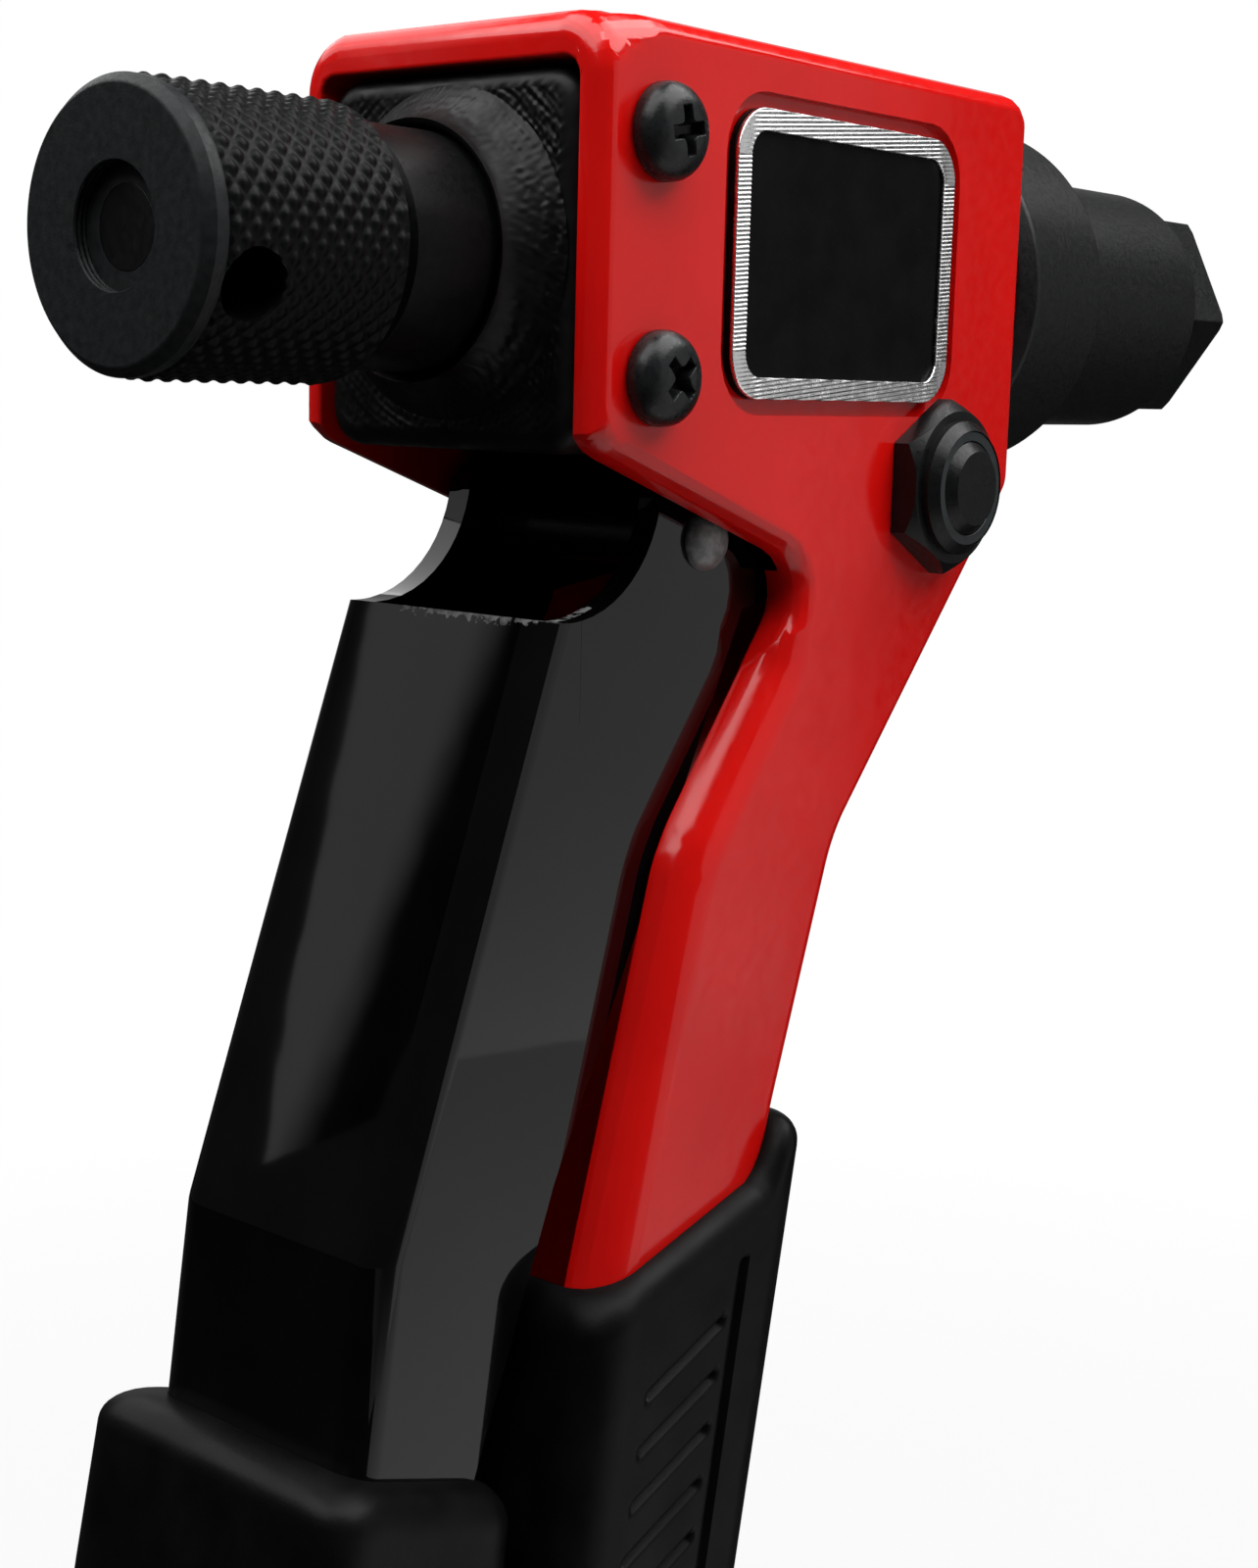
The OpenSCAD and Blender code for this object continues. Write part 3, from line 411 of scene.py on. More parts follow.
screw_steel = black_oxide("screw_steel", 0.014, 0.3, 0.3)
SEAT_R, SCREW_R, SCREW_H, SHANK_R, SHANK_L = 3.9, 3.5, 2.6, 2.0, 7.7
DOME_FLAT, DOME_RIM, SCREW_CREASE = 0.4, 0.3, 50
ARM_L, ARM_W, ARM_BLEND = 1.8, 0.52, 0.5
RECESS_DEEP, RECESS_RISE, RECESS_WALL = 1.75, 0.35, 0.22
SPIN, SPIN_UPPER, SPIN_LEFT = 28, -17, 26
screw_low, screw_high = corners_mm("block_screws")
seat_y = screw_high[1] - SCREW_H
screw_x = (screw_low[0] + screw_high[0]) / 2
screw_z = screw_high[2] - SEAT_R


def screw_rings():
    """Polar grid over the head, then rim, underside and shank. The dome falls as a quarter ellipse outside
    its flat middle; the recess is a cross of two bars, blended in their inner corners, whose floor rises
    towards the ends."""
    out = np.concatenate([np.linspace(0.05, 2.7, 50), np.linspace(2.75, SCREW_R, 18)])
    turn = np.linspace(0, 2 * np.pi, 216, endpoint=False)
    r, a = np.meshgrid(out, turn, indexing="ij")
    fall = np.clip((r / SCREW_R - DOME_FLAT) / (1 - DOME_FLAT), 0, 1)
    dome = SCREW_H * (DOME_RIM + (1 - DOME_RIM) * np.sqrt(1 - fall ** 2))
    u, v = np.abs(r * np.cos(a)), np.abs(r * np.sin(a))
    bar, cross_bar = np.maximum(u - ARM_L, v - ARM_W), np.maximum(v - ARM_L, u - ARM_W)
    blend = np.maximum(ARM_BLEND - np.abs(bar - cross_bar), 0)
    from_edge = np.minimum(bar, cross_bar) - blend ** 2 / (4 * ARM_BLEND)
    recess = RECESS_DEEP - RECESS_RISE * np.maximum(u, v)
    height = dome - smooth_step(0.0, RECESS_WALL, -from_edge) * recess
    head = np.stack([r * np.cos(a), r * np.sin(a), height], -1)
    edge = np.array([[SCREW_R, 0.2], [SCREW_R - 0.2, 0], [SHANK_R, 0], [SHANK_R, 0.6 - SHANK_L],
                     [SHANK_R - 0.4, -SHANK_L]])
    rest = np.stack([edge[:, :1] * np.cos(turn), edge[:, :1] * np.sin(turn),
                     edge[:, 1:] * np.ones_like(turn)], -1)
    return np.concatenate([head, rest])


rings = screw_rings()
middle_top = [0, 0, rings[0, :, 2].mean()]
for side in (-1, 1):
    for up in (-1, 1):
        spin = math.radians(SPIN + SPIN_UPPER * up + SPIN_LEFT * (side + 1))
        u_axis = np.array([math.cos(spin), 0, math.sin(spin)])
        out_axis = np.array([0, side, 0])
        screw_axes = np.stack([u_axis, np.cross(out_axis, u_axis), out_axis])
        at = np.array([screw_x, side * seat_y, up * screw_z])
        name = "screw_" + ("right" if side < 0 else "left") + ("_upper" if up > 0 else "_lower")
        screw = ring_skin(name, rings @ screw_axes + at, screw_steel, middle_top @ screw_axes + at,
                          np.array([0, 0, -SHANK_L]) @ screw_axes + at, crease=SCREW_CREASE)
        set_in_place(screw, "block_screws")


# Side plate: an embossed aluminium plate let into the head's right side. Its border is bright and finely
# ribbed, and the panel inside is coated in plain gloss black.
def round_box_walk(per_x, per_y, per_corner):
    """Walk round a box with rounded corners, as four rows: the share of the straight half lengths along x
    and y, each from -1 to 1, and the outward direction's x and y. A point is share * (half - radius) +
    radius * direction."""
    corner = np.linspace(0, np.pi / 2, per_corner, endpoint=False)
    parts = []
    for quarter, (sx, sy) in enumerate([(1, 1), (-1, 1), (-1, -1), (1, -1)]):
        angle = corner + quarter * np.pi / 2
        parts.append([np.full(per_corner, sx), np.full(per_corner, sy), np.cos(angle), np.sin(angle)])
        level = quarter % 2 == 0
        count = per_x if level else per_y
        run = np.linspace(1, -1, count, endpoint=False)
        end = (quarter + 1) * np.pi / 2
        along_x = sx * run if level else np.full(count, sx)
        along_y = np.full(count, sy) if level else sy * run
        way_x, way_y = np.full(count, round(math.cos(end))), np.full(count, round(math.sin(end)))
        parts.append([along_x, along_y, way_x, way_y])
    return np.concatenate([np.array(part, float) for part in parts], axis=1)


plate_bright, tree, shader, place = start_finish("plate_bright")
set_values(shader, Metallic=1.0)
tones(tree, blotches(tree, place, 1800), shader.inputs["Base Color"],
      [(0.3, (0.92, 0.92, 0.92)), (0.7, (1.0, 1.0, 0.99))])
between(tree, blotches(tree, place, 1200), shader.inputs["Roughness"], 0.16, 0.32)
plate_black, tree, shader, place = start_finish("plate_black")
set_values(shader, Specular_IOR_Level=0.06)
tones(tree, blotches(tree, place, 300), shader.inputs["Base Color"],
      [(0.3, (0.002, 0.0018, 0.002)), (0.7, (0.005, 0.0045, 0.005))])
between(tree, blotches(tree, place, 1600), shader.inputs["Roughness"], 0.25, 0.4)
relief(tree, shader, blotches(tree, place, 2400, 2.0), 0.008)
plate_low, plate_high = corners_mm("side_plate")
plate_half = (plate_high - plate_low)[[0, 2]] / 2
plate_mid = (plate_high + plate_low)[[0, 2]] / 2
PLATE_R, BORDER_W, BORDER_T, BORDER_EDGE = 3.6, 1.7, 0.35, 0.08
RIB_PITCH, RIB_DEEP, RIB_SLOPE = 0.33, 0.065, 0.1
plate_walk = round_box_walk(60, 430, 40)


def plate_ring(inset, y):
    """Ring of the plate's outline drawn in by inset, at depth y; the arrays inset and y have one value for
    each row."""
    r = np.maximum(PLATE_R - inset, 0.4)[:, None]
    half = plate_half[None, :] - inset[:, None]
    x = plate_mid[0] + plate_walk[0] * (half[:, :1] - r) + r * plate_walk[2]
    z = plate_mid[1] + plate_walk[1] * (half[:, 1:] - r) + r * plate_walk[3]
    return np.stack([x, np.broadcast_to(y[:, None], x.shape), z], -1)


front_y, back_y = plate_low[1], plate_high[1]
panel_y = front_y + BORDER_T
sunk_y = panel_y + 0.02
across = np.linspace(0.06, BORDER_W - 0.06, 44)
border_inset = np.concatenate([[0.0], across, [BORDER_W, BORDER_W, 0.0]])
border_y = np.concatenate([[front_y + BORDER_EDGE], np.full(across.size, front_y),
                           [front_y + BORDER_EDGE, sunk_y, sunk_y]])
border = plate_ring(border_inset, border_y)
ribbed = slice(1, 1 + across.size)
across_ribs = border[ribbed, :, 2] - RIB_SLOPE * border[ribbed, :, 0]
border[ribbed, :, 1] += RIB_DEEP * 0.5 * (1 - np.cos(2 * np.pi * across_ribs / RIB_PITCH))
set_in_place(ring_skin("plate_border", border, plate_bright, loop=True), "side_plate")
panel = plate_ring(np.array([9.0, BORDER_W + 0.2, BORDER_W - 0.2, 0.1, 0.0, 0.0, 9.0]),
                   np.array([panel_y, panel_y, sunk_y, sunk_y, panel_y + 0.1, back_y, back_y]))
set_in_place(ring_skin("plate_panel", panel, plate_black, [plate_mid[0], panel_y, plate_mid[1]],
                       [plate_mid[0], back_y, plate_mid[1]]), "side_plate")


# Pivot bolt with its thin lock nut: blackened steel, six-sided, with turned corners. The nut's round
# collar holds a plastic ring that keeps it from working loose.
bolt_steel = black_oxide("bolt_steel", 0.005, 0.34, 0.25)
smooth_copy("pivot_bolt", bolt_steel, crease=24, soften=0.18)
smooth_copy("pivot_nut", bolt_steel, crease=24, soften=0.3)
lock_plastic, tree, shader, place = start_finish("lock_plastic")
set_values(shader, Roughness=0.4)
tones(tree, blotches(tree, place, 900), shader.inputs["Base Color"],
      [(0.3, (0.012, 0.016, 0.017)), (0.7, (0.02, 0.026, 0.027))])
smooth_copy("nut_insert", lock_plastic, soften=0.1)


# Arm grip: a moulded rubber sleeve pushed over the arm's lower end, with a rolled lip at the top and a
# panel of slanting grooves beside a long groove on each side. The rubber is satin black, with a fine grain
# and dull patches where it is handled.
grip_rubber, tree, shader, place = start_finish("grip_rubber")
set_values(shader, Specular_IOR_Level=0.12)
tones(tree, blotches(tree, place, 260, 5.0), shader.inputs["Base Color"],
      [(0.3, (0.0016, 0.0016, 0.0017)), (0.7, (0.004, 0.004, 0.0042))])
between(tree, blotches(tree, place, 180, 4.0), shader.inputs["Roughness"], 0.36, 0.5)
relief(tree, shader, blotches(tree, place, 3000, 2.0), 0.014)
GRIP_R, GRIP_CREASE, FOOT_H, LIP_STEPS = 4.0, 60, 4.0, 11
SEAT_DOWNS = (12.0, 4.0, 1.5, 0.5)
ROWS_INSIDE = 1 + len(SEAT_DOWNS) + LIP_STEPS
FIRST_GUESS_X = -105.0


def grip_rings(walk, lines, seat, level, downs, lip_r):
    """Rings of a grip, from its closed inner end up the handle, over the lip's quarter ellipse and down the
    outside to the rounded foot. `lines` gives the outer rear and front place and half width at a height,
    `seat` the handle's with its corner radius, and `level` the height of a point that lies so far down
    from the lip. Heights and places hang on each other, so both are found in a few rounds."""
    share_x, share_y, out_x, out_y = walk

    def ring(inward, down, inset=0.0, drop=0.0):
        x = np.full(share_x.shape, FIRST_GUESS_X)
        for _ in range(8):
            z = level(x, down)
            rear, front, half = lines(z)
            rear_in, front_in, half_in, r_in = seat(z, share_x)
            r = GRIP_R - inset
            x_out = (rear + front) / 2 + share_x * ((front - rear) / 2 - GRIP_R) + r * out_x
            x_in = (rear_in + front_in) / 2 + share_x * ((front_in - rear_in) / 2 - r_in) + r_in * out_x
            x = x_out + (x_in - x_out) * inward
        y_out = share_y * (half - GRIP_R) + r * out_y
        y_in = share_y * (half_in - r_in) + r_in * out_y
        return np.stack([x, y_out + (y_in - y_out) * inward, z - drop], -1)

    rows = [ring(1.0, down) for down in (downs[-1] - 4.0, *SEAT_DOWNS)]
    rows += [ring(1 - math.sin(a), lip_r * (1 - math.cos(a))) for a in np.linspace(0, np.pi / 2, LIP_STEPS)]
    rows += [ring(0.0, down) for down in downs]
    rows += [ring(0.0, downs[-1], GRIP_R * (1 - math.cos(a)), GRIP_R * math.sin(a))
             for a in np.linspace(0.2, np.pi / 2, 7)]
    return np.stack(rows)


arm_low, arm_high = corners_mm("arm_grip")
arm_half_w = arm_high[1]
ARM_TIP = np.array([-107.1, -79.4])
ARM_BEND = np.array([-84.32, -69.8])
REAR_LEAN, FRONT_LEAN, REAR_WALL, FRONT_WALL = 0.153, 0.19, 1.6, 3.0
ARM_HALF, SEAT_GAP, ARM_LIP_R = 15.7, 0.03, 2.6
ARM_LIP_X = [-127.1, -88.6, -87.4, -85.2, -84.4]
ARM_LIP_Z = [-84.0, -74.2, -73.2, -69.7, -69.2]


def arm_grip_lines(z):
    """Outer rear and front place and half width of the arm's grip at a height: straight lines, leaning
    backwards."""
    rear = ARM_TIP[0] + (z - ARM_TIP[1]) * REAR_LEAN - REAR_WALL
    front = ARM_BEND[0] + (z - ARM_BEND[1]) * FRONT_LEAN + FRONT_WALL
    return rear, front, np.full(z.shape, arm_half_w)


def arm_seat(z, share):
    """The arm inside its grip: one wall inside the outer lines, with rounder corners at the rear."""
    rear, front, half = arm_grip_lines(z)
    half = half - arm_half_w + ARM_HALF + SEAT_GAP
    return rear + REAR_WALL + SEAT_GAP, front - FRONT_WALL + SEAT_GAP, half, 3.1 - 1.1 * share


GROOVE_AT = np.array([-98.65, -85.75])
GROOVE_PITCH, GROOVE_N, GROOVE_HALF, GROOVE_SLOPE, GROOVE_DEEP = 4.4, 14, 4.86, 0.35, 0.8
GROOVE_ROWS = 16
LONG_SHARE, SIDE_HALF = 0.535, 8.4
arm_foot = arm_low[2] + FOOT_H
arm_top = -76.0
arm_run = arm_top - arm_foot
first_groove = arm_top - GROOVE_AT[1]


def arm_level(x, down):
    """Height of a point: it follows the lip near the top, a slow rise and a steep step up to the front wall,
    then planes that slope as the grooves do, and the level foot."""
    axis = GROOVE_AT[0] + (arm_top - down - GROOVE_AT[1]) * FRONT_LEAN
    sloped = arm_top - down + GROOVE_SLOPE * (x - axis)
    z = np.interp(x, ARM_LIP_X, ARM_LIP_Z) - down
    z = z + (sloped - z) * smooth_step(ARM_LIP_R, 8.0, down)
    return z + (arm_top - down - z) * smooth_step(arm_run - 30, arm_run, down)


groove_rows = np.arange(-20, GROOVE_ROWS * (GROOVE_N + 1))
groove_downs = first_groove + groove_rows * GROOVE_PITCH / GROOVE_ROWS
arm_downs = np.concatenate([np.linspace(2.9, groove_downs[0] - 0.3, 5), groove_downs,
                            np.linspace(groove_downs[-1] + 1, arm_run, 30)])
arm_walk = round_box_walk(72, 14, 9)
rings = grip_rings(arm_walk, arm_grip_lines, arm_seat, arm_level, arm_downs, ARM_LIP_R)
sides = np.flatnonzero(np.abs(arm_walk[3]) > 0.999)
rows = np.arange(ROWS_INSIDE, ROWS_INSIDE + arm_downs.size)
side = rings[rows[:, None], sides[None, :]]
axis = GROOVE_AT[0] + (arm_top - arm_downs - GROOVE_AT[1]) * FRONT_LEAN
steps = (arm_downs - first_groove) / GROOVE_PITCH
nearest = np.clip(np.round(steps), 0, GROOVE_N - 1)
aside = np.abs(steps - nearest) * GROOVE_PITCH * math.cos(math.atan(GROOVE_SLOPE))
past_end = np.abs(side[..., 0] - axis[:, None]) - GROOVE_HALF
slanting = (1 - smooth_step(0.2, 0.6, aside))[:, None] * (1 - smooth_step(-0.3, 0.3, past_end))
along = np.maximum(np.abs(steps - (GROOVE_N - 1) / 2) - (GROOVE_N + 1) / 2, 0) * GROOVE_PITCH
from_long = np.abs(arm_walk[0][sides] - LONG_SHARE) * SIDE_HALF
lengthwise = (1 - smooth_step(0.0, 0.5, along))[:, None] * (1 - smooth_step(0.25, 0.6, from_long))[None, :]
side[..., 1] -= np.sign(side[..., 1]) * GROOVE_DEEP * np.maximum(slanting, lengthwise)
rings[rows[:, None], sides[None, :]] = side
arm_grip = ring_skin("arm_grip_made", rings, grip_rubber, rings[0].mean(0), rings[-1].mean(0),
                     crease=GRIP_CREASE)
set_in_place(arm_grip, "arm_grip")


# Lever: one pressed steel channel with two ears, its bends rounded over the die, sprayed gloss black.
# The rim round the scoop is sheared, and the paint there is chipped to the bright rough edge.
def arithmetic(tree, kind, *values):
    """One step of arithmetic on numbers or sockets."""
    step = tree.nodes.new("ShaderNodeMath")
    step.operation = kind
    for socket, value in zip(step.inputs, values):
        if isinstance(value, (int, float)):
            socket.default_value = value
        else:
            tree.links.new(value, socket)
    return step.outputs["Value"]


LEVER_HALF = 11.3
SCOOP_X, SCOOP_Z, SCOOP_R = -107.2, -16.15, 10.65
CHIP_W, CHIP_LOW, CHIP_SIDE, CHIP_HALF = 0.3, -9.8, 3.0, 7.0


def scoop_chips(tree, place):
    """1 in the chips along the scoop's rim, 0 elsewhere: the distance from the rim's line, which runs level
    behind the scoop's lowest point, is set against noise."""
    parts = tree.nodes.new("ShaderNodeSeparateXYZ")
    tree.links.new(place, parts.inputs["Vector"])
    x, y, z = (parts.outputs[axis] for axis in "XYZ")
    ahead = arithmetic(tree, "MAXIMUM", arithmetic(tree, "SUBTRACT", x, SCOOP_X * MM), 0.0)
    below = arithmetic(tree, "MINIMUM", arithmetic(tree, "SUBTRACT", z, SCOOP_Z * MM), 0.0)
    ahead_squared = arithmetic(tree, "POWER", ahead, 2.0)
    below_squared = arithmetic(tree, "POWER", arithmetic(tree, "ABSOLUTE", below), 2.0)
    reach = arithmetic(tree, "SQRT", arithmetic(tree, "ADD", ahead_squared, below_squared))
    from_rim = arithmetic(tree, "DIVIDE", arithmetic(tree, "SUBTRACT", reach, SCOOP_R * MM), CHIP_W * MM)
    from_middle = arithmetic(tree, "ABSOLUTE", arithmetic(tree, "ADD", y, CHIP_SIDE * MM))
    on_web = arithmetic(tree, "LESS_THAN", from_middle, CHIP_HALF * MM)
    low_part = arithmetic(tree, "LESS_THAN", below, CHIP_LOW * MM)
    torn = arithmetic(tree, "SUBTRACT", blotches(tree, place, 1500, 6.0), 0.49)
    depth = arithmetic(tree, "SUBTRACT", arithmetic(tree, "MULTIPLY", torn, 9.0), from_rim)
    bare = arithmetic(tree, "GREATER_THAN", depth, 0.0)
    return arithmetic(tree, "MULTIPLY", bare, arithmetic(tree, "MULTIPLY", low_part, on_web))


black_paint, tree, shader, place = start_finish("black_paint")
chips = scoop_chips(tree, place)
set_values(shader, Specular_IOR_Level=0.0, Coat_Roughness=0.03)
tree.links.new(arithmetic(tree, "SUBTRACT", 0.9, chips), shader.inputs["Coat Weight"])
worn = tree.nodes.new("ShaderNodeMix")
worn.data_type = "RGBA"
tree.links.new(chips, worn.inputs["Factor"])
tones(tree, blotches(tree, place, 120), worn.inputs["A"],
      [(0.3, (0.001, 0.001, 0.0011)), (0.7, (0.0025, 0.0025, 0.0027))])
tones(tree, blotches(tree, place, 1600, 5.0), worn.inputs["B"],
      [(0.3, (0.03, 0.03, 0.03)), (0.7, (0.3, 0.3, 0.3))])
tree.links.new(worn.outputs["Result"], shader.inputs["Base Color"])
between(tree, blotches(tree, place, 700), shader.inputs["Roughness"], 0.2, 0.36)
relief(tree, shader, blotches(tree, place, 160, 1.0), 0.006, ("Normal", "Coat Normal"))
smooth_copy("lever", black_paint, soften=0.14)


# Cross rivet and drive pins: steel pins through the lever's ears. The rivet's ends are upset to low domes,
# and the pins run in the draw sleeve's grooves. The rivet's shank between the ears is painted near black as
# painted shade of the channel's inside; its domed ends keep the bare, worn steel.
rivet_steel_and_painted_shade, tree, shader, place = start_finish("rivet_steel_and_painted_shade")
set_values(shader, Roughness=0.34)
parts = tree.nodes.new("ShaderNodeSeparateXYZ")
tree.links.new(place, parts.inputs["Vector"])
rivet_y = arithmetic(tree, "ABSOLUTE", parts.outputs["Y"])
# Painted shade: where the rivet lies inside the lever's channel its colour is near black, and only the ends
# outside the ears get the steel's tones.
outside_painted_shade = arithmetic(tree, "GREATER_THAN", rivet_y, LEVER_HALF * MM)
tones(tree, arithmetic(tree, "MULTIPLY", outside_painted_shade, blotches(tree, place, 1400, 4.0)),
      shader.inputs["Base Color"],
      [(0.1, (0.004, 0.004, 0.004)), (0.3, (0.1, 0.1, 0.1)), (0.7, (0.3, 0.3, 0.3))])
relief(tree, shader, blotches(tree, place, 2600, 3.0), 0.03)
smooth_copy("cross_rivet", rivet_steel_and_painted_shade)


def ground_steel(name, light, rough):
    """Bare turned or ground steel with fine rings across the spindle line."""
    finish, tree, shader, place = start_finish(name)
    set_values(shader, Metallic=1.0)
    tones(tree, blotches(tree, place, 2200, 3.0, (1, 0.15, 0.15)), shader.inputs["Base Color"],
          [(0.3, (0.7 * light, 0.71 * light, 0.73 * light)), (0.7, (light, 1.01 * light, 1.03 * light))])
    between(tree, blotches(tree, place, 1500), shader.inputs["Roughness"], rough - 0.06, rough + 0.08)
    return finish


pin_steel = ground_steel("pin_steel", 0.5, 0.28)
smooth_copy("drive_pins", pin_steel, soften=0.2)


# Lever grip: a plain moulded rubber sleeve on the lever's lower end, hugging the channel, with a thick
# rolled lip that slopes down to the front.
grip_low, grip_high = corners_mm("lever_grip")
lever_half_w = grip_high[1]
GRIP_Z = [-203.6, -100.5, -82.3]
GRIP_REAR = [-153.36, -136.08, -132.2]
GRIP_FRONT = [-133.0, -114.08, -111.8]
CHANNEL_REAR = [[-200.0, -88.5, -72.5], [-150.05, -128.85, -126.55]]
CHANNEL_FRONT = [[-200.0, -92.0, -70.3], [-137.4, -116.2, -107.5]]


def lever_grip_lines(z):
    """Outer rear and front place and half width of the lever's grip: straight between three stations."""
    return np.interp(z, GRIP_Z, GRIP_REAR), np.interp(z, GRIP_Z, GRIP_FRONT), np.full(z.shape, lever_half_w)


def lever_seat(z, share):
    """The channel inside its grip: bent corners at the rear, square edges in front."""
    half = np.full(z.shape, LEVER_HALF + SEAT_GAP)
    return np.interp(z, *CHANNEL_REAR), np.interp(z, *CHANNEL_FRONT), half, 1.6 - 1.0 * share


LIP_REAR, LIP_SLOPE, LIP_L, LEVER_LIP_R = np.array([-142.2, -82.3]), -0.369, 20, 3.0
lever_foot = grip_low[2] + FOOT_H
lever_run = LIP_REAR[1] + LIP_SLOPE * LIP_L - lever_foot


def lever_level(x, down):
    """Height of a point: parallel to the sloping lip at the top, level at the foot."""
    top = LIP_REAR[1] + LIP_SLOPE * (x - LIP_REAR[0])
    return top - down * (top - lever_foot) / lever_run


lever_downs = np.concatenate([np.linspace(3.4, 8, 8), np.linspace(9.5, lever_run, 70)])
lever_walk = round_box_walk(16, 20, 9)
rings = grip_rings(lever_walk, lever_grip_lines, lever_seat, lever_level, lever_downs, LEVER_LIP_R)
lever_grip = ring_skin("lever_grip_made", rings, grip_rubber, rings[0].mean(0), rings[-1].mean(0),
                       crease=GRIP_CREASE)
set_in_place(lever_grip, "lever_grip")


# Draw sleeve, thrust washer and spindle: the turned steel train on the spindle line. The sleeve is
# blackened, the washer and the spindle are left bare.
sleeve_steel = black_oxide("sleeve_steel", 0.004, 0.36, 0.08)
smooth_copy("draw_sleeve", sleeve_steel, soften=0.15)
smooth_copy("thrust_washer", pin_steel, soften=0.15)
spindle_steel = ground_steel("spindle_steel", 0.03, 0.45)
smooth_copy("spindle", spindle_steel, soften=0.15)


# Knob: turned steel with a rolled diamond knurl, a smooth rear rim, a threaded hole in its rear face and a
# cross hole for a tommy bar. It is blackened after knurling. Its rear rim and face get a lighter copy of the
# same blackened steel: painted light on the faces that look to the rear.
knob_steel = black_oxide("knob_steel", 0.004, 0.4, 0.08)
# Painted light: a lighter copy of the knob's blackened steel, for its rear rim and face.
face_painted_light = black_oxide("face_painted_light", 0.02, 0.42, 0.14)
knob_low, knob_high = corners_mm("knob")
KNOB_R = knob_high[1]
KNURL_ROUND, KNURL_PITCH, KNURL_DEEP, KNURL_POINTS = 33, 1.6, 0.22, 12
HOLE_R, HOLE_DEEP, HOLE_PITCH, HOLE_THREAD = 4.25, 1.3, 0.4, 0.12
STUD_R, STUD_L, SPINDLE_BORE_R = 2.82, 8.0, 4.52
FACE_L, KNOB_CREASE = 1.9, 38
rear_x, front_x = knob_low[0], knob_high[0]
knurl_x = np.linspace(rear_x + 2.0, front_x - 0.7, 112)


def knob_rings():
    """A closed profile of x and radius, turned round the spindle line. On the knurled stretch two sets of
    helical grooves cross, and the radius falls with both grooves' waves, which leaves small rounded
    diamonds."""
    thread = np.linspace(0.25, HOLE_DEEP, 9)
    hole_r = HOLE_R - HOLE_THREAD * np.abs(np.mod(thread / HOLE_PITCH, 1) * 2 - 1)
    hole = np.stack([rear_x + thread, hole_r], -1)
    lead = np.array([[front_x, SPINDLE_BORE_R], [front_x, KNOB_R - 0.6], [front_x - 0.4, KNOB_R - 0.1]])
    rim = np.array([[rear_x + 1.8, KNOB_R - 0.3], [rear_x + 1.5, KNOB_R - 0.2],
                    [rear_x + 0.75, KNOB_R - 0.2], [rear_x + 0.2, KNOB_R - 0.7], [rear_x, KNOB_R - 1.0],
                    [rear_x, KNOB_R - 1.2], [rear_x, HOLE_R + 0.65], [rear_x, HOLE_R + 0.45],
                    [rear_x + 0.25, HOLE_R + 0.05]])
    stud_x = rear_x + HOLE_DEEP
    bore = np.array([[stud_x, STUD_R], [stud_x + STUD_L, STUD_R], [stud_x + STUD_L, SPINDLE_BORE_R]])
    knurl = np.stack([knurl_x[::-1], np.full(knurl_x.shape, KNOB_R)], -1)
    profile = np.concatenate([lead, knurl, rim, hole, bore])
    turn = np.linspace(0, 2 * np.pi, KNURL_ROUND * KNURL_POINTS, endpoint=False)
    x = np.repeat(profile[:, :1], turn.size, axis=1)
    r = np.repeat(profile[:, 1:], turn.size, axis=1)
    knurled = slice(len(lead), len(lead) + len(knurl_x))
    phase = KNURL_ROUND * turn / (2 * np.pi)
    step = x[knurled] / KNURL_PITCH
    wave_right = 0.5 + 0.5 * np.cos(2 * np.pi * (phase + step))
    wave_left = 0.5 + 0.5 * np.cos(2 * np.pi * (phase - step))
    r[knurled] -= KNURL_DEEP * (1 - (1 - wave_right ** 1.5) * (1 - wave_left ** 1.5))
    return np.stack([x, r * np.cos(turn), r * np.sin(turn)], -1)


knob = ring_skin("knob_made", knob_rings(), knob_steel, loop=True)
TOMMY_R, TOMMY_X, TOMMY_TURN, TOMMY_EDGE = 2.5, 4.3, math.radians(22), 0.35
spindle_way = np.array([1, 0, 0])
tommy_way = np.array([0, -math.cos(TOMMY_TURN), -math.sin(TOMMY_TURN)])
tommy_up = np.cross(tommy_way, spindle_way)
turn = np.linspace(0, 2 * np.pi, 64, endpoint=False)[:, None]
reach = np.array([[3.2, TOMMY_R], [KNOB_R - 0.4, TOMMY_R], [KNOB_R + 0.4, TOMMY_R + TOMMY_EDGE],
                  [KNOB_R + 2, TOMMY_R + TOMMY_EDGE]])
tommy_circle = np.cos(turn) * spindle_way + np.sin(turn) * tommy_up
drill = reach[:, :1, None] * tommy_way + reach[:, 1:, None] * tommy_circle
drill = drill + np.array([rear_x + TOMMY_X, 0, 0])
cutter = ring_skin("tommy_drill", drill, knob_steel, drill[0].mean(0), drill[-1].mean(0))
cut = knob.modifiers.new("tommy_hole", "BOOLEAN")
cut.operation = "DIFFERENCE"
cut.object = cutter
drilled = bpy.data.meshes.new_from_object(knob.evaluated_get(bpy.context.evaluated_depsgraph_get()))
knob.modifiers.clear()
knob.data = drilled
bpy.data.objects.remove(cutter)
# Painted light: the rear rim and face, within FACE_L of the rear, take the lighter copy of the blackened
# steel.
drilled.materials.append(face_painted_light)
painted_light_on_face = read_all(drilled.polygons, "center", 3)[:, 0] < (rear_x + FACE_L) * MM
drilled.polygons.foreach_set("material_index", painted_light_on_face.astype(np.int32))
even_shading(knob, KNOB_CREASE)
set_in_place(knob, "knob")


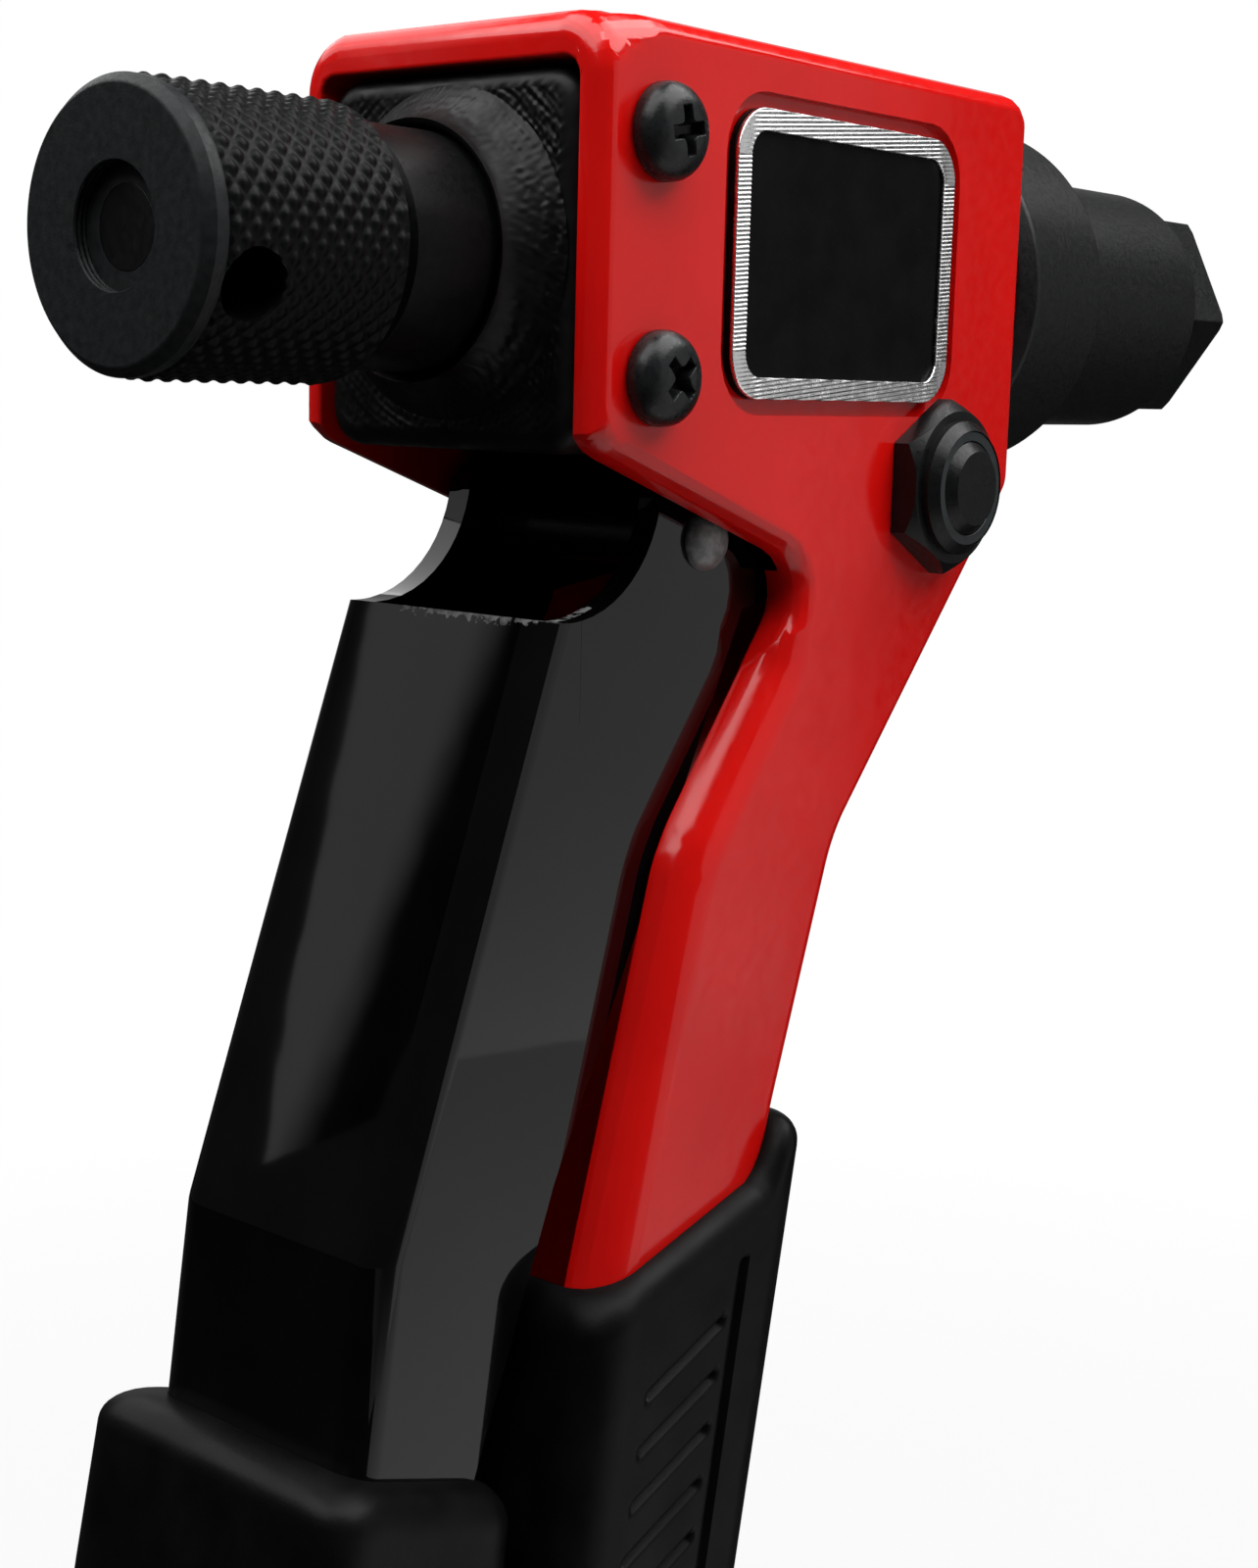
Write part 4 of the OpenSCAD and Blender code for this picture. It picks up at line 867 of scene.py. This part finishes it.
# Mandrel and its coupling: the coupling is a turned cap on the spindle's front end, and the mandrel is a
# hardened M6 screw held by its head, whose thread is rolled.
smooth_copy("mandrel_coupling", sleeve_steel, soften=0.15)
mandrel_steel = ground_steel("mandrel_steel", 0.3, 0.32)
mandrel_low, mandrel_high = corners_mm("mandrel")
HEAD_R, HEAD_L, HEAD_EDGE, NECK_R, NECK_END = 4.8, 4.0, 0.3, 2.7, -0.3
THREAD_R, THREAD_PITCH, THREAD_DEEP, THREAD_CREASE = 3.0, 1.0, 0.5, 50
TIP_R, TIP_TAPER = 2.3, 0.8
head_x, tip_x = mandrel_low[0], mandrel_high[0]
head_end = head_x + HEAD_L
thread_x = np.linspace(0.0, tip_x - 0.01, 130)
turn = np.linspace(0, 2 * np.pi, 60, endpoint=False)
plain = np.array([[head_x, HEAD_R - HEAD_EDGE], [head_x + HEAD_EDGE, HEAD_R], [head_end, HEAD_R],
                  [head_end, NECK_R], [NECK_END, NECK_R]])
x = np.concatenate([plain[:, 0], thread_x])[:, None] * np.ones_like(turn)
r = np.concatenate([plain[:, 1], np.full(thread_x.shape, THREAD_R)])[:, None] * np.ones_like(turn)
wave = np.abs(np.mod(x / THREAD_PITCH - turn / (2 * np.pi), 1) * 2 - 1)
threaded = slice(len(plain), None)
r[threaded] -= THREAD_DEEP * np.clip(wave[threaded] * 1.15 - 0.1, 0, 1)
r[threaded] = np.minimum(r[threaded], TIP_R + np.maximum(tip_x - x[threaded], 0) * TIP_TAPER)
rings = np.stack([x, r * np.cos(turn), r * np.sin(turn)], -1)
mandrel = ring_skin("mandrel_made", rings, mandrel_steel, [head_x, 0, 0], [tip_x, 0, 0],
                    crease=THREAD_CREASE)
set_in_place(mandrel, "mandrel")


# Nose tube, lock collar and nosepiece: turned and milled steel, blackened. The collar locks the tube
# against the head, and the nosepiece is screwed into the tube's front.
nose_steel = black_oxide("nose_steel", 0.008, 0.4, 0.3)
smooth_copy("nose_tube", nose_steel, soften=0.2)
smooth_copy("lock_collar", nose_steel, soften=0.25)
smooth_copy("nosepiece", nose_steel, soften=0.2)


# Stand and light: a plain pale floor under the handles' ends, soft boxes all round and a white surround.
# A second floor just below gives the light that the tool gets from underneath, so that the seen one stays
# clean of what lies between them.
FLOOR_HALF, FLOOR_GAP, UNDER_GAP = 1.5, 0.0002, 0.002
POOL_SCALE, POOL_SHIFT, POOL_FADE = 2.5, 0.25, 0.35
floor_z = cad_box[0][2] - FLOOR_GAP
pale_floor = bpy.data.materials.new("pale_floor")
pale_floor.use_nodes = True
tree = pale_floor.node_tree
tree.nodes.clear()
matt = tree.nodes.new("ShaderNodeBsdfDiffuse")
lit = tree.nodes.new("ShaderNodeEmission")
mix = tree.nodes.new("ShaderNodeMixShader")
rays = tree.nodes.new("ShaderNodeLightPath").outputs["Is Camera Ray"]
tones(tree, rays, matt.inputs["Color"], [(0.0, (0.7, 0.7, 0.7)), (1.0, (0.8, 0.8, 0.8))])
round_tool = tree.nodes.new("ShaderNodeMapping")
round_tool.inputs["Location"].default_value = (POOL_SHIFT, 0, -POOL_SCALE * floor_z)
round_tool.inputs["Scale"].default_value = (POOL_SCALE, POOL_SCALE, POOL_SCALE)
tree.links.new(tree.nodes.new("ShaderNodeTexCoord").outputs["Object"], round_tool.inputs["Vector"])
near = tree.nodes.new("ShaderNodeTexGradient")
near.gradient_type = "SPHERICAL"
tree.links.new(round_tool.outputs["Vector"], near.inputs["Vector"])
glow = arithmetic(tree, "SUBTRACT", 1.0, arithmetic(tree, "MULTIPLY", near.outputs["Fac"], POOL_FADE))
tree.links.new(arithmetic(tree, "MULTIPLY", rays, glow), mix.inputs["Fac"])
tree.links.new(matt.outputs["BSDF"], mix.inputs[1])
tree.links.new(lit.outputs["Emission"], mix.inputs[2])
tree.links.new(mix.outputs["Shader"], tree.nodes.new("ShaderNodeOutputMaterial").inputs["Surface"])


def lay_flat(name, points, finish):
    """Flat stage piece of the given outline in metres."""
    mesh = bpy.data.meshes.new(name)
    mesh.from_pydata(points, [], [tuple(range(len(points)))])
    mesh.materials.append(finish)
    laid = bpy.data.objects.new(name, mesh)
    bpy.context.scene.collection.objects.link(laid)
    return laid


def floor_points(z):
    """Corners of the floor's square at a height."""
    return [(-FLOOR_HALF, -FLOOR_HALF, z), (FLOOR_HALF, -FLOOR_HALF, z), (FLOOR_HALF, FLOOR_HALF, z),
            (-FLOOR_HALF, FLOOR_HALF, z)]


floor = lay_flat("floor", floor_points(floor_z), pale_floor)
floor.visible_diffuse = False
floor.visible_glossy = False
floor.visible_shadow = False
under_floor = lay_flat("under_floor", floor_points(floor_z - UNDER_GAP), pale_floor)
under_floor.visible_camera = False

world = bpy.data.worlds.new("white_room")
bpy.context.scene.world = world
world.use_nodes = True
tree = world.node_tree
tree.nodes.clear()
seen = tree.nodes.new("ShaderNodeBackground")
seen.inputs["Color"].default_value = (1, 1, 1, 1)
around = tree.nodes.new("ShaderNodeBackground")
around.inputs["Color"].default_value = (0.98, 0.99, 1.0, 1)
around.inputs["Strength"].default_value = 0.045
rays = tree.nodes.new("ShaderNodeLightPath")
mix = tree.nodes.new("ShaderNodeMixShader")
tree.links.new(rays.outputs["Is Camera Ray"], mix.inputs["Fac"])
tree.links.new(around.outputs["Background"], mix.inputs[1])
tree.links.new(seen.outputs["Background"], mix.inputs[2])
tree.links.new(mix.outputs["Shader"], tree.nodes.new("ShaderNodeOutputWorld").inputs["Surface"])

head_middle = np.array([-0.08, 0.0, -0.06])


def set_up(x_axis, y_axis, z_axis, at):
    """Matrix of a thing that stands at a point in metres with these axes."""
    return Matrix(np.vstack([np.column_stack([x_axis, y_axis, z_axis, at]), [0, 0, 0, 1]]).tolist())


def soft_box(name, azimuth, elevation, far, wide, high, glow):
    """Area lamp of wide by high metres that faces the head from far metres away. Azimuth is counted from
    +X towards +Y, and glow is the brightness of its face."""
    lamp = bpy.data.lights.new(name, "AREA")
    lamp.shape = "RECTANGLE"
    lamp.size, lamp.size_y, lamp.energy = wide, high, glow * math.pi * wide * high
    box = bpy.data.objects.new(name, lamp)
    a, e = math.radians(azimuth), math.radians(elevation)
    way = np.array([math.cos(a) * math.cos(e), math.sin(a) * math.cos(e), math.sin(e)])
    level = np.array([-math.sin(a), math.cos(a), 0])
    box.matrix_world = set_up(level, np.cross(way, level), way, head_middle + far * way)
    bpy.context.scene.collection.objects.link(box)


soft_box("key_box", 168.0, 63.0, 0.35, 0.4, 0.3, 3.6)
soft_box("side_box", -55.0, 60.0, 0.4, 0.4, 0.3, 4.5)
soft_box("left_box", 88.0, 38.0, 0.9, 1.1, 0.4, 1.7)
soft_box("right_box", -62.0, 6.0, 0.45, 0.472, 0.4, 0.45)
soft_box("back_box", 45.0, 8.0, 0.9, 0.8, 0.7, 0.3)


# Cards, as in a studio: a narrow lit one at the rear left, which the lever's flat back mirrors, and a black
# cloth between the two floors, which keeps the rear and lower faces deep in tone. Neither the camera nor
# the shadows show them.
lit_card, tree, shader, place = start_finish("lit_card")
set_values(shader, Base_Color=(0, 0, 0, 1), Specular_IOR_Level=0.0, Emission_Color=(1, 1, 1, 1))
slant = tree.nodes.new("ShaderNodeVectorMath")
slant.operation = "DOT_PRODUCT"
tree.links.new(place, slant.inputs[0])
slant.inputs[1].default_value = (0.59, 0.8, -0.066)
fade = tree.nodes.new("ShaderNodeMapRange")
fade.interpolation_type = "SMOOTHSTEP"
for name, value in (("From Min", 0.034), ("From Max", 0.056), ("To Min", 0.0), ("To Max", 0.62)):
    fade.inputs[name].default_value = value
tree.links.new(slant.outputs["Value"], fade.inputs["Value"])
tree.links.new(fade.outputs["Result"], shader.inputs["Emission Strength"])
LIT_OUTLINE = [(-0.677, 0.5715, 0.051), (-0.690, 0.535, 0.090), (-0.672, 0.520, 0.187),
               (-0.626, 0.512, 0.284), (-0.533, 0.496, 0.480), (-0.489, 0.590, 0.480),
               (-0.5815, 0.5846, 0.269), (-0.648, 0.581, 0.120)]
dark_cloth, tree, shader, place = start_finish("dark_cloth")
set_values(shader, Base_Color=(0.01, 0.01, 0.01, 1), Roughness=0.9)
cloth_z = floor_z - UNDER_GAP / 2
CLOTH_OUTLINE = [(-1.2, -0.5), (-0.17, -0.5), (-0.17, 0.04), (1.5, -1.107), (1.5, 1.2), (-1.2, 1.2)]
for card in (lay_flat("lit_card", LIT_OUTLINE, lit_card),
             lay_flat("dark_cloth", [(x, y, cloth_z) for x, y in CLOTH_OUTLINE], dark_cloth)):
    card.visible_camera = False
    card.visible_shadow = False


# Camera: close to the tool's rear right side, a little above the spindle and looking slightly down, as the
# photograph was taken.
YAW, PITCH, ROLL = 0.686748, 0.1756357, -0.0262031
eye = np.array([-233.586, -121.040, -9.114]) * MM
ahead = np.array([math.cos(YAW) * math.cos(PITCH), math.sin(YAW) * math.cos(PITCH), -math.sin(PITCH)])
level = np.cross(ahead, [0, 0, 1])
level = level / np.linalg.norm(level)
sunk = np.cross(ahead, level)
right = math.cos(ROLL) * level + math.sin(ROLL) * sunk
down = -math.sin(ROLL) * level + math.cos(ROLL) * sunk
camera = bpy.data.objects.new("camera", bpy.data.cameras.new("camera"))
camera.data.sensor_width = 36
camera.data.lens = 51.81
camera.data.clip_start = 0.005
camera.matrix_world = set_up(right, -down, -ahead, eye)
bpy.context.scene.collection.objects.link(camera)
bpy.context.scene.camera = camera
bpy.context.scene.view_settings.view_transform = "Standard"
